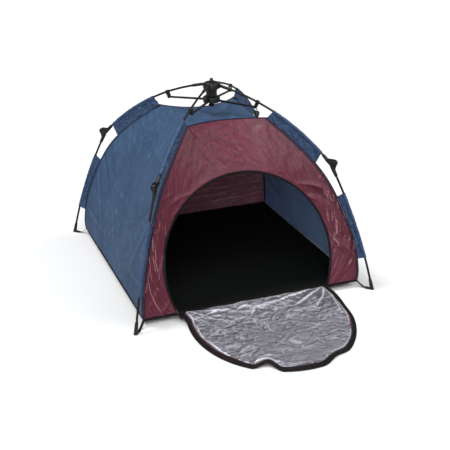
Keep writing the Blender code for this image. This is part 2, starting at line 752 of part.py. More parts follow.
def roof_mesh():
    """The roof panel between the two curved seams and the two soft bends."""
    half = FABRIC_GAP / 2
    front = shifted(roof_seam(-1), Vector((0.0, half, 0.0)))
    back = shifted(roof_seam(1), Vector((0.0, -half, 0.0)))
    left = shifted(ridge(-1), Vector((half, 0.0, 0.0)))
    right = shifted(ridge(1), Vector((-half, 0.0, 0.0)))
    for edge, other, corner in ((front, left, 0), (front, right, -1)):
        edge[corner] = Vector((other[0].x, edge[corner].y, edge[corner].z))
        other[0] = edge[corner].copy()
    for edge, other, corner in ((back, left, 0), (back, right, -1)):
        edge[corner] = Vector((other[-1].x, edge[corner].y, edge[corner].z))
        other[-1] = edge[corner].copy()
    grid = coons(left, right, front, back)
    inner = [[point - UP * FABRIC for point in row] for row in grid]
    return sheet_solid(grid, inner, "roof_panel")


def floor_mesh():
    """The floor sheet: flat on the ground in its middle, its edges held up by the corner straps."""
    reach_x, reach_y = FLOOR_X - FLOOR_INSET, FLOOR_Y - FLOOR_INSET
    low, high = [], []
    for i in range(FLOOR_CELLS + 1):
        row_low, row_high = [], []
        for j in range(FLOOR_CELLS + 1):
            u, v = 2 * j / FLOOR_CELLS - 1, 2 * i / FLOOR_CELLS - 1
            rise = max((max(abs(u), abs(v)) - FLOOR_FLAT_SHARE) / (1 - FLOOR_FLAT_SHARE), 0.0)
            spot = Vector((u * reach_x, v * reach_y, EDGE_LIFT * rise))
            row_low.append(spot)
            row_high.append(spot + UP * FABRIC)
        low.append(row_low)
        high.append(row_high)
    return sheet_solid(high, low, "floor_sheet")


# The doorway

DOOR_UP = Vector((0.0, math.sin(DOOR_LEAN), math.cos(DOOR_LEAN)))
DOOR_OUT = Vector((0.0, -math.cos(DOOR_LEAN), math.sin(DOOR_LEAN)))
DOOR_BASE = Vector((0.0, DOOR_BASE_INSET - FLOOR_Y, EDGE_LIFT + DOOR_BASE_LIFT))
DOOR_CENTRE = DOOR_BASE + DOOR_UP * DOOR_CENTRE_RISE
PANEL_ARCH_RADIUS = DOOR_RADIUS + TAPE_WIDTH + FABRIC_GAP


def door_point(radius, angle, out=0.0):
    """A point of the door's plane, by radius and angle about the arch's centre."""
    flat = Vector((math.cos(angle) * radius, 0.0, 0.0)) + DOOR_UP * (math.sin(angle) * radius)
    return DOOR_CENTRE + flat + DOOR_OUT * out


def arch_angles():
    """Angles of the arch's points from its right foot over the top to its left foot."""
    drop = DOOR_CENTRE_RISE + DOOR_BASE_LIFT / math.cos(DOOR_LEAN)
    foot = -math.asin(drop / PANEL_ARCH_RADIUS)
    corner_rise = (ROOF_CORNER.y - DOOR_CENTRE.z) / math.cos(DOOR_LEAN)
    corner = math.atan2(corner_rise, ROOF_X)
    side = [foot + (corner - foot) * i / ARCH_SIDE_STEPS for i in range(ARCH_SIDE_STEPS)]
    top = [corner + (math.pi / 2 - corner) * i / ARCH_TOP_STEPS for i in range(ARCH_TOP_STEPS)]
    half = side + top
    return half + [math.pi / 2] + [math.pi - a for a in reversed(half)]


ARCH = arch_angles()


def front_panel_mesh():
    """The front panel: a taut strip from the zip's arch out to the corner seams and the roof's seam."""
    top = list(reversed(shifted(roof_seam(-1), Vector((0.0, -FABRIC_GAP / 2, 0.0)))))
    right, left = corner_seam("front_right"), corner_seam("front_left")
    along = Vector((FABRIC_GAP, 0.0, 0.0))
    right = shifted(right, -along)
    left = shifted(left, along)
    top[0].x, top[-1].x = right[-1].x, left[-1].x
    outer_edge = right[:-1] + top + list(reversed(left[:-1]))
    last = len(ARCH) - 1
    outer, inner = [], []
    for i, angle in enumerate(ARCH):
        arch_point = door_point(PANEL_ARCH_RADIUS, angle, FABRIC / 2)
        if i in (0, last):
            arch_point.z = EDGE_LIFT
        outer.append([arch_point.lerp(outer_edge[i], k / PANEL_RINGS) for k in range(PANEL_RINGS + 1)])
    for i, row in enumerate(outer):
        made = []
        for k, point in enumerate(row):
            normal = grid_normal(outer, i, k, INSIDE)
            if i in (0, last):
                level = Vector((normal.x, normal.y, 0.0))
                offset = level.normalized() * (FABRIC / level.length)
                if k == PANEL_RINGS:
                    radial = Vector((-point.x, -point.y, 0.0)).normalized()
                    offset = radial * (FABRIC / abs(radial.dot(normal)))
            elif k == 0:
                offset = -DOOR_OUT * FABRIC
            elif k == PANEL_RINGS and ARCH_SIDE_STEPS <= i <= last - ARCH_SIDE_STEPS:
                offset = -UP * (FABRIC / abs(normal.z))
            elif k == PANEL_RINGS:
                step = i if i < ARCH_SIDE_STEPS else last - i
                corner = "front_right" if i < ARCH_SIDE_STEPS else "front_left"
                direction = to_world(in_plane(seam_normal(SEAM_ROWS - step)), corner)
                offset = direction * (FABRIC / abs(direction.dot(normal)))
            else:
                offset = normal * FABRIC
            made.append(point + offset)
        inner.append(made)
    return sheet_solid(outer, inner, "front_panel")


def zip_tape_mesh():
    """The arch of zip tape inside the front panel's edge."""
    half = TAPE_THICKNESS / 2
    section = ((0.0, -half), (0.0, half), (TAPE_WIDTH, half), (TAPE_WIDTH, -half))
    rings = [[door_point(DOOR_RADIUS + r, angle, out) for r, out in section] for angle in ARCH]
    for end, beside in ((0, 1), (-1, -2)):
        rings[end] = [a.lerp(b, TAPE_FOOT_TRIM) for a, b in zip(rings[end], rings[beside])]
    return lofted(rings, "zip_tape")


# The door flap

FLAP_HINGE = Vector((0.0, FLOOR_INSET - FLOOR_Y - FABRIC_GAP, EDGE_LIFT))
FLAP_EDGE_RADIUS = DOOR_RADIUS - FLAP_EDGE_INSET


def eased(share):
    """A share from 0 to 1, with a soft start and end."""
    share = min(max(share, 0.0), 1.0)
    return share * share * (3 - 2 * share)


def buckle(radius, angle):
    """How far a place of the flap is drawn in by the edge's buckles, and how high they lift it."""
    near_edge = (radius / FLAP_EDGE_RADIUS) ** 3
    turn = math.degrees(angle) % 360.0
    drawn, lifted = 0.0, 0.0
    for middle, half_width, depth, height in FLAP_BUCKLES:
        away = abs((turn - middle + 180.0) % 360.0 - 180.0) / half_width
        share = near_edge * (1 - eased(away))
        drawn += share * depth
        lifted += share * height
    return drawn * FLAP_EDGE_RADIUS, lifted * FLAP_EDGE_RADIUS


def flap_height(x, run):
    """How high the flap's underside lies at a place and a distance from the hinge."""
    ease = min(run / FLAP_DROP_LENGTH, 1.0)
    slope = (EDGE_LIFT - GROUND_GAP - FLAP_FABRIC) * (1 - eased(ease))
    wave = 0.5 + 0.5 * math.sin(2 * math.pi * (x + 0.35 * run) / FLAP_RIPPLE_PITCH)
    swell = 0.5 + 0.5 * math.sin(2 * math.pi * (run - 0.4 * x) / (FLAP_RIPPLE_PITCH * 1.7))
    return GROUND_GAP + slope + FLAP_RIPPLE * ease * wave * swell


def flap_point(radius, angle, lift=0.0):
    """A point of the open flap, by radius and angle about the centre of its round edge."""
    drawn, lifted = buckle(radius, angle)
    run = max(DOOR_CENTRE_RISE + math.sin(angle) * radius, 0.0)
    settled = eased(run / FLAP_DROP_LENGTH)
    across = math.cos(angle) * (radius - drawn * settled)
    run -= math.sin(angle) * drawn * settled
    reach = FLAP_TUCK_REACH_RIGHT if across > 0 else FLAP_TUCK_REACH_LEFT
    x = FLAP_SHIFT * run / DOOR_RADIUS + across * (1 - FLAP_TUCK_SHARE * eased(run / reach))
    return Vector((x, FLAP_HINGE.y - run, flap_height(x, run) + lifted * settled + lift)) - FLAP_HINGE


def flap_foot(radius):
    return -math.asin(DOOR_CENTRE_RISE / radius)


FLAP_SIDE_CELLS = 9
FLAP_TOP_CELLS = 20


def flap_angles():
    """Angles of the round edge from its right foot over the far end to its left foot."""
    foot = flap_foot(FLAP_EDGE_RADIUS)
    shoulder = math.radians(48.0)
    side = [foot + (shoulder - foot) * i / FLAP_SIDE_CELLS for i in range(FLAP_SIDE_CELLS)]
    far = [shoulder + (math.pi - 2 * shoulder) * i / FLAP_TOP_CELLS for i in range(FLAP_TOP_CELLS + 1)]
    return side + far + [math.pi - a for a in reversed(side)]


def flap_mesh():
    """The lined sheet of the flap, in waves on the ground."""
    radius = FLAP_EDGE_RADIUS - BINDING_WIDTH - FABRIC_GAP
    edge = [Vector((math.cos(a) * radius, math.sin(a) * radius, 0.0)) for a in flap_angles()]
    foot_x = FLAP_EDGE_RADIUS * math.cos(flap_foot(FLAP_EDGE_RADIUS)) - BINDING_WIDTH - FABRIC_GAP
    for corner, sign in ((0, 1), (-1, -1)):
        edge[corner] = Vector((sign * foot_x, -DOOR_CENTRE_RISE, 0.0))
    right = edge[:FLAP_SIDE_CELLS + 1]
    far = list(reversed(edge[FLAP_SIDE_CELLS:FLAP_SIDE_CELLS + FLAP_TOP_CELLS + 1]))
    left = list(reversed(edge[FLAP_SIDE_CELLS + FLAP_TOP_CELLS:]))
    base = between(left[0], right[0], FLAP_TOP_CELLS)
    flat = coons(left, right, base, far)
    low, high = [], []
    for row in flat:
        spots = [flap_point(p.length, math.atan2(p.y, p.x)) for p in row]
        low.append(spots)
        high.append([p + UP * FLAP_FABRIC for p in spots])
    return sheet_solid(high, low, "flap")


def binding_mesh():
    """The zip half and binding round the flap's edge."""
    inner_radius = FLAP_EDGE_RADIUS - BINDING_WIDTH
    rings = []
    angles = flap_angles()
    for i, angle in enumerate(angles):
        ring = []
        at_hinge = i in (0, len(angles) - 1)
        skin = FLAP_FABRIC if at_hinge else BINDING_THICKNESS
        for radius, lift in ((FLAP_EDGE_RADIUS, 0.0), (inner_radius, 0.0), (inner_radius, skin),
                             (FLAP_EDGE_RADIUS, skin)):
            turn = angle
            if at_hinge:
                foot_x = FLAP_EDGE_RADIUS * math.cos(flap_foot(FLAP_EDGE_RADIUS))
                x = foot_x if radius == FLAP_EDGE_RADIUS else foot_x - BINDING_WIDTH
                turn = math.atan2(-DOOR_CENTRE_RISE, x if i == 0 else -x)
                ring.append(flap_point(math.hypot(x, DOOR_CENTRE_RISE), turn, lift))
            else:
                ring.append(flap_point(radius, turn, lift))
        rings.append(ring)
    return lofted(rings, "binding")


# Zip slider and its pull, given from the arch's centre

SLIDER_ANGLE = ARCH[-1] - math.radians(1.5)
TRACK_RADIUS = DOOR_RADIUS + TAPE_WIDTH / 2


def track_frame(point_along, point_in, out):
    """A point by distance along the track towards its left foot, distance in from it, and height off it."""
    radial = Vector((math.cos(SLIDER_ANGLE), 0.0, 0.0)) + DOOR_UP * math.sin(SLIDER_ANGLE)
    tangent = Vector((-math.sin(SLIDER_ANGLE), 0.0, 0.0)) + DOOR_UP * math.cos(SLIDER_ANGLE)
    return radial * (TRACK_RADIUS - point_in) + tangent * point_along + DOOR_OUT * out


def slider_mesh():
    """The slider: a waisted block on the tape's face with a low bridge for the pull."""
    base = TAPE_THICKNESS / 2 + SEAT_GAP
    half_length, half_width = SLIDER_LENGTH / 2, SLIDER_WIDTH / 2
    shape = ((-half_length, half_width * 0.55), (-half_length * 0.5, half_width), (half_length * 0.4, half_width),
             (half_length, half_width * 0.7))
    outline = [(a, w) for a, w in shape] + [(a, -w) for a, w in reversed(shape)]
    rings = [[track_frame(a * s, w * s, base + h) for a, w in outline]
             for h, s in ((0.0, 0.94), (0.0006, 1.0), (SLIDER_HEIGHT * 0.7, 1.0), (SLIDER_HEIGHT, 0.8))]
    return lofted(rings, "slider")


def pull_mesh():
    """The pull tab, lying along the track past the slider."""
    base = TAPE_THICKNESS / 2 + 2 * SEAT_GAP + SLIDER_HEIGHT
    outline = link_outline(Vector((0.0, 0.0)), PULL_WIDTH * 0.4, Vector((PULL_LENGTH, 0.0)), PULL_WIDTH / 2)
    rings = [[track_frame(p.x, p.y, base + h) for p in outline] for h in (0.0, PULL_THICKNESS)]
    tab = lofted(rings, "tab")
    spots = [Vector((PULL_LENGTH, 0.0)) + Vector((math.cos(t), math.sin(t))) * PULL_WIDTH * 0.24
             for t in (2 * math.pi * i / 10 for i in range(10))]
    hole = lofted([[track_frame(p.x, p.y, base + h) for p in spots] for h in (-0.005, 0.005)], "tab_hole")
    return combined(tab, ((hole, "DIFFERENCE"),), "zip_pull")


# The hub

def upright_ring(radius, height, steps):
    return [Vector((math.cos(t) * radius, math.sin(t) * radius, height))
            for t in (2 * math.pi * (i + 0.5) / steps for i in range(steps))]


def turned_upright(profile, name, steps=32):
    return lofted([upright_ring(radius, height, steps) for radius, height in profile], name)


def radial_box(corner, start, end, width, low, high):
    """A box along a pole's azimuth."""
    half = width / 2
    rings = [[to_world(Vector((x, y, z)), corner) for x, y in ((start, -half), (end, -half), (end, half),
                                                              (start, half))] for z in (low, high)]
    return lofted(rings, "radial_box")


def crown_mesh():
    """The crown, slotted for the four poles, with their pins and the socket column under it."""
    flange_low = HUB_PIVOT.y - CROWN_FLANGE_HEIGHT / 2
    top = HUB_PIVOT.y + CROWN_FLANGE_HEIGHT / 2
    body = turned_upright(((SOCKET_RADIUS, COLUMN_BOTTOM + SOCKET_DEPTH), (SOCKET_RADIUS, COLUMN_BOTTOM),
                           (COLUMN_RADIUS - 0.001, COLUMN_BOTTOM), (COLUMN_RADIUS, COLUMN_BOTTOM + 0.0015),
                           (COLUMN_RADIUS, flange_low - 0.001), (CROWN_RADIUS - 0.0015, flange_low),
                           (CROWN_RADIUS, flange_low + 0.002), (CROWN_RADIUS, HUB_PIVOT.y + 0.001),
                           (CROWN_RADIUS - 0.0025, top - 0.005), (CROWN_RADIUS - 0.008, top - 0.0016),
                           (CROWN_RADIUS - 0.016, top)), "crown_body")
    changes = []
    width = 2 * (FERRULE_RADIUS + SLOT_CLEARANCE)
    for corner in CORNERS:
        slot = radial_box(corner, HUB_SLOT_FLOOR, CROWN_RADIUS + 0.01, width, flange_low - 0.005,
                          top - CROWN_ROOF)
        changes.append((slot, "DIFFERENCE"))
    for corner in CORNERS:
        turns = [2 * math.pi * (i + 0.5) / 10 for i in range(10)]
        pin = lofted([[to_world(Vector((HUB_PIVOT.x + math.cos(t) * HUB_PIN_RADIUS, y,
                                        HUB_PIVOT.y + math.sin(t) * HUB_PIN_RADIUS)), corner) for t in turns]
                      for y in (-HUB_PIN_REACH, HUB_PIN_REACH)], "hub_pin")
        changes.append((pin, "UNION"))
    return combined(body, changes, "hub_crown")


def cap_mesh():
    """The small turned cap on the crown."""
    base = HUB_PIVOT.y + CROWN_FLANGE_HEIGHT / 2 + SEAT_GAP
    return turned_upright(((CAP_RADIUS, base), (CAP_RADIUS, base + CAP_HEIGHT * 0.3),
                           (CAP_RADIUS * 0.72, base + CAP_HEIGHT * 0.45),
                           (CAP_RADIUS * 0.85, base + CAP_HEIGHT * 0.7),
                           (CAP_RADIUS * 0.7, base + CAP_HEIGHT * 0.93),
                           (CAP_RADIUS * 0.35, base + CAP_HEIGHT)), "hub_cap", 16)


def runner_mesh():
    """The runner: a disc slotted for the struts, with the stem that plugs into the column."""
    stem = SOCKET_RADIUS - STEM_CLEARANCE
    body = turned_upright(((RUNNER_RADIUS - 0.0015, RUNNER_BOTTOM), (RUNNER_RADIUS, RUNNER_BOTTOM + 0.0015),
                           (RUNNER_RADIUS, RUNNER_TOP - 0.0015), (RUNNER_RADIUS - 0.0015, RUNNER_TOP),
                           (stem, RUNNER_TOP), (stem, RUNNER_TOP + STEM_LENGTH - 0.001),
                           (stem - 0.001, RUNNER_TOP + STEM_LENGTH)), "runner_body")
    width = STRUT_WIDTH + 4 * SLOT_CLEARANCE
    changes = [(radial_box(corner, RUNNER_CORE_RADIUS, RUNNER_RADIUS + 0.01, width, RUNNER_BOTTOM - 0.005,
                           RUNNER_TOP + 0.005), "DIFFERENCE") for corner in CORNERS]
    return combined(body, changes, "runner")


def knob_mesh():
    """The pull knob under the runner."""
    top = RUNNER_BOTTOM - SEAT_GAP
    low = top - KNOB_HEIGHT
    return turned_upright(((KNOB_RADIUS * 0.5, low), (KNOB_RADIUS * 0.9, low + 0.0015),
                           (KNOB_RADIUS, low + KNOB_HEIGHT * 0.35), (KNOB_RADIUS * 0.8, low + KNOB_HEIGHT * 0.6),
                           (KNOB_RADIUS * 0.6, low + KNOB_HEIGHT * 0.75), (KNOB_RADIUS * 0.8, top)), "knob", 20)


def tie_mesh():
    """The loop on the roof under the front right clip."""
    spot = to_world(Vector((STRUT_PIVOT.x + TIE_FROM_CLIP, 0.0, 0.0)), "front_right")
    base = ROOF_CORNER.y + FABRIC_GAP - TIE_SEAT_DROP
    height = STRUT_PIVOT.y - STRUT_EYE_RADIUS - EYE_RIM - SEAT_GAP - base
    profile = ((TIE_RADIUS * 0.5, 0.0), (TIE_RADIUS * 0.4, 0.25), (TIE_RADIUS * 0.9, 0.45), (TIE_RADIUS, 0.62),
               (TIE_RADIUS * 0.9, 0.8), (TIE_RADIUS * 0.3, 1.0))
    rings = [[p + Vector((spot.x, spot.y, 0.0)) for p in upright_ring(r, base + h * height, 10)]
             for r, h in profile]
    return lofted(rings, "roof_tie")


def build_hub(plastic, cord):
    crown = add("hub_crown", crown_mesh(), plastic)
    add("hub_cap", cap_mesh(), plastic, crown)
    runner_axis = axis_empty("runner_slide", (0.0, 0.0, 0.0))
    add("runner", runner_mesh(), plastic, runner_axis)
    add("runner_knob", knob_mesh(), plastic, runner_axis)
    add("roof_tie", tie_mesh(), cord)


def build_corners(plastic, rod, sleeve_fabric, webbing):
    """Four poles with their fittings, each under empties on its fold, strut and elbow axes."""
    shared = {"root_ferrule": root_ferrule_mesh(), "strut_clip": clip_mesh(), "elbow_upper": elbow_upper_mesh(),
              "elbow_lower": elbow_lower_mesh(), "strut": strut_mesh(), "foot": foot_mesh(),
              "corner_strap": strap_mesh()}
    upper_sleeve = sleeve_mesh(HUB_PIVOT, UPPER_SLEEVE, UPPER_SLEEVE_SEAM)
    lower_sleeve = sleeve_mesh(KNUCKLE, LOWER_SLEEVE, LOWER_SLEEVE_SEAM)
    root_end = FERRULE_BORE_START + 0.0005
    upper_end = UPPER_LENGTH - ELBOW_BORE_START - 0.0005
    lower_start = UPPER_LENGTH + ELBOW_BORE_START + 0.0005
    lower_end = UPPER_LENGTH + lower_point_at_height(FOOT_BORE_HEIGHT + 0.0018)
    upper_cuts = [root_end + (upper_end - root_end) * i / POLE_STEPS for i in range(POLE_STEPS + 1)]
    lower_cuts = [lower_start + (lower_end - lower_start) * i / LOWER_POLE_STEPS
                  for i in range(LOWER_POLE_STEPS + 1)]
    for corner in CORNERS:
        turn = corner_azimuth(corner)
        fold = axis_empty(corner + "_fold", to_world(in_plane(HUB_PIVOT), corner), turn)
        elbow = axis_empty(corner + "_elbow", in_plane(KNUCKLE - HUB_PIVOT), 0.0, fold)
        swing = axis_empty(corner + "_strut_swing", in_plane(STRUT_PIVOT - HUB_PIVOT), 0.0, fold)
        pole_curve(corner + "_upper_pole", HUB_PIVOT, upper_cuts, rod, fold)
        pole_curve(corner + "_lower_pole", KNUCKLE, lower_cuts, rod, elbow)
        add(corner + "_root_ferrule", shared["root_ferrule"], plastic, fold)
        add(corner + "_strut_clip", shared["strut_clip"], plastic, fold)
        add(corner + "_elbow_upper", shared["elbow_upper"], plastic, fold)
        add(corner + "_upper_sleeve", upper_sleeve, sleeve_fabric, fold)
        add(corner + "_strut", shared["strut"], plastic, swing)
        add(corner + "_elbow_lower", shared["elbow_lower"], plastic, elbow)
        add(corner + "_lower_sleeve", lower_sleeve, sleeve_fabric, elbow)
        add(corner + "_foot", shared["foot"], plastic, elbow)
        add(corner + "_corner_strap", shared["corner_strap"], webbing, elbow)


def build_body(blue, maroon, black):
    """Walls, roof, front and floor."""
    half = Vector((FABRIC_GAP / 2, 0.0, 0.0))
    add("wall_left", closed_wall_mesh("front_left", "back_left", shifted(ridge(-1), -half), "wall_left"), blue)
    add("wall_right", closed_wall_mesh("front_right", "back_right", shifted(ridge(1), half), "wall_right"), blue)
    back_top = shifted(roof_seam(1), Vector((0.0, FABRIC_GAP / 2, 0.0)))
    add("back_panel", closed_wall_mesh("back_left", "back_right", back_top, "back_panel"), maroon)
    add("roof_panel", roof_mesh(), blue)
    add("front_panel", front_panel_mesh(), maroon)
    add("floor_sheet", floor_mesh(), black)


def build_door(tape, lining, binding, plastic):
    """Zip tape, flap and slider, the flap and slider under empties on their axes."""
    add("door_zip_tape", zip_tape_mesh(), tape)
    hinge = axis_empty("flap_hinge", FLAP_HINGE)
    add("door_flap", flap_mesh(), lining, hinge)
    add("flap_binding", binding_mesh(), binding, hinge)
    track = axis_empty("zip_track", DOOR_CENTRE)
    add("zip_slider", slider_mesh(), plastic, track)
    add("zip_pull", pull_mesh(), plastic, track)


def build_tent():
    plastic = finish("black_moulding", (0.012, 0.012, 0.013), 0.45)
    rod = finish("black_glass_rod", (0.016, 0.015, 0.015), 0.35)
    blue = finish("slate_blue_polyester", (0.076, 0.117, 0.216), 0.55)
    maroon = finish("maroon_polyester", (0.150, 0.035, 0.055), 0.50)
    black = finish("black_floor_sheet", (0.010, 0.011, 0.012), 0.70)
    lining = finish("silver_lining", (0.300, 0.300, 0.320), 0.35, 0.35)
    webbing = finish("black_webbing", (0.018, 0.018, 0.020), 0.80)
    build_hub(plastic, webbing)
    build_corners(plastic, rod, blue, webbing)
    build_body(blue, maroon, black)
    build_door(webbing, lining, webbing, plastic)


clear_scene()
build_tent()
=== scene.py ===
# %% [markdown]
# # A dog tent on an umbrella frame
# The real tent is a light polyester body that hangs from four jointed glass-fibre poles.
# The poles fold at a moulded hub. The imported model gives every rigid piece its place,
# so this script dresses that frame: cloth, seams, zip, rods and moulded fittings.

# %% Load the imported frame
import math

import bmesh
import bpy
import numpy as np
from mathutils import Matrix, Vector, geometry, noise


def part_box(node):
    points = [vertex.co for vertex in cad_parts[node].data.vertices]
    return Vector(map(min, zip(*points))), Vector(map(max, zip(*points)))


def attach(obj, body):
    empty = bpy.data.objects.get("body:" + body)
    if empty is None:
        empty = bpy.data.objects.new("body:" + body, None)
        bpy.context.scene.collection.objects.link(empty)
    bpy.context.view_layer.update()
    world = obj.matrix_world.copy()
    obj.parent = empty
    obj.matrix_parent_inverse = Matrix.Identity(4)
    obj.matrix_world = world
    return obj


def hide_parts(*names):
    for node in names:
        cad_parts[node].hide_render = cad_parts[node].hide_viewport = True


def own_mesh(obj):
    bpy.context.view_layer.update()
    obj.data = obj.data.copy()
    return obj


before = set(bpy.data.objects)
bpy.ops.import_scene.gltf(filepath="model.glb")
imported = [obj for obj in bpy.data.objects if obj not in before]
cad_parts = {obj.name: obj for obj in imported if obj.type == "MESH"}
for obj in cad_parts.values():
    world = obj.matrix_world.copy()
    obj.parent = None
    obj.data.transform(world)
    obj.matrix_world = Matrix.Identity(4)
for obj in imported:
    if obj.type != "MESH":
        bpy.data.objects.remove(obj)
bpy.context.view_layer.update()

# %% [markdown]
# ## The camera
# The photograph was taken from a little above and to the left of the door, with a long
# lens, so its lines converge only slightly.

# %% Camera and size of the view
CAMERA_PLACE = (-0.9462, -2.5435, 1.2734)
camera_data = bpy.data.cameras.new("studio_camera")
camera_data.lens = 70.49
camera_data.sensor_width = 36.0
camera = bpy.data.objects.new("studio_camera", camera_data)
bpy.context.scene.collection.objects.link(camera)
camera_right = Vector((0.93148, -0.36379, -0.00202))
camera_up = Vector((0.14379, 0.36305, 0.92061))
camera_back = camera_right.cross(camera_up).normalized()
camera.matrix_world = Matrix.Translation(CAMERA_PLACE) @ Matrix(
    (camera_right, camera_up, camera_back)
).transposed().to_4x4()
bpy.context.scene.camera = camera
print("camera looks along", [round(c, 3) for c in -camera_back])

# %% [markdown]
# ## Studio
# A pale floor, dim even light from all round, and four very large lamps far away: one in
# front, one above, one on the right, and a weak one low in front that also reaches in at
# the door. Lamps that large and far give the same soft light all over the floor, so it
# stays an even white, and thin coated cloth keeps its wide, gentle highlights. White paper
# has to look white here, so the plain view transform fits better than one made for
# film-like contrast. The camera sees white beyond the floor too.


# %% Helpers: nodes, colours and a blank material
def settle(node, settings=None, links=None):
    """settings: attribute or input to its value. links: input to the node or socket that feeds it."""
    for key, value in (settings or {}).items():
        if isinstance(key, str) and hasattr(node, key):
            setattr(node, key, value)
        else:
            node.inputs[key].default_value = value
    for key, source in (links or {}).items():
        socket = source.outputs[0] if hasattr(source, "outputs") else source
        node.id_data.links.new(socket, node.inputs[key])
    return node


def add_node(tree, kind, settings=None, links=None):
    return settle(tree.nodes.new(kind), settings, links)


def linear(hex_colour):
    """A colour written as sRGB hex, in the linear numbers that shaders use."""
    parts = [int(hex_colour[i : i + 2], 16) / 255 for i in (1, 3, 5)]
    return (*[p / 12.92 if p <= 0.04045 else ((p + 0.055) / 1.055) ** 2.4 for p in parts], 1.0)


def blank_material(name):
    """A new material with its tree and its Principled shader."""
    made = bpy.data.materials.new(name)
    made.use_nodes = True
    return made, made.node_tree, made.node_tree.nodes["Principled BSDF"]


def shown(name, mesh):
    """An object in the scene for this mesh."""
    made = bpy.data.objects.new(name, mesh)
    bpy.context.scene.collection.objects.link(made)
    return made


# %% Floor, world light and lamps
bpy.context.scene.view_settings.view_transform = "Standard"
world = bpy.data.worlds.new("studio")
world.use_nodes = True
sky = world.node_tree
even_light = settle(sky.nodes["Background"], {"Color": linear("#f6f8fc"), "Strength": 0.28})
paper = add_node(sky, "ShaderNodeBackground", {"Color": linear("#ffffff"), "Strength": 1.0})
seen = add_node(sky, "ShaderNodeLightPath").outputs["Is Camera Ray"]
backdrop = add_node(sky, "ShaderNodeMixShader", None, {"Fac": seen, 1: even_light, 2: paper})
settle(sky.nodes["World Output"], None, {"Surface": backdrop})
bpy.context.scene.world = world

FLOOR_REACH = 9
matt_floor, _, shader = blank_material("matt_studio_floor")
settle(shader, {"Base Color": linear("#c3c3c3"), "Roughness": 0.95, "Specular IOR Level": 0.1})
mesh = bpy.data.meshes.new("studio_floor")
floor_corners = [(x * FLOOR_REACH, y * FLOOR_REACH, 0) for x, y in ((-1, -1), (1, -1), (1, 1), (-1, 1))]
mesh.from_pydata(floor_corners, [], [(0, 1, 2, 3)])
mesh.materials.append(matt_floor)
shown("studio_floor", mesh)

# Each lamp: the direction that it shines from, its strength, its spread in degrees and its tint
LAMPS = {
    "key": ((-0.7, -2.0, 2.3), 2.65, 50.0, "#ffffff"),
    "top": ((-1.0, 0.45, 2.2), 2.7, 20.0, "#ffffff"),
    "side": ((1.3, -0.6, 1.4), 1.6, 50.0, "#ffffff"),
    "fill": ((-1.4, -2.6, 0.45), 0.8, 40.0, "#f3f6ff"),
}
for name, (place, strength, spread, tint) in LAMPS.items():
    data = bpy.data.lights.new(name, "SUN")
    data.energy, data.angle, data.color = strength, math.radians(spread), linear(tint)[:3]
    shown(name, data).matrix_world = Vector(place).to_track_quat("Z", "Y").to_matrix().to_4x4()
print("lamps", ", ".join(LAMPS))

# %% [markdown]
# ## Materials
# Each finish is named for what the real one is. Its pattern sizes are in millimetres,
# turned to the metres that the coordinates use.


# %% The scale of a pattern
def noise_scale(size):
    """The scale that gives a noise or cell pattern features this large, in mm."""
    return 1000.0 / size


def band_scale(size):
    """The scale that sets a Wave texture's bands this far apart, in mm."""
    return 100.0 * math.pi / size


# %% [markdown]
# **Coated polyester taffeta.** A plain weave of filament yarn, coated inside. New cloth
# out of a bag keeps a fine crumple, and the filaments give a soft sheen that a cotton
# would not. Thin cloth also lets some light through, which is what lights the inside.
# The coated side is paler and greyer than the face, so it is a finish of its own.
# Real threads are 0.15 mm apart, too fine to show, so the weave is drawn at 2.4 mm.


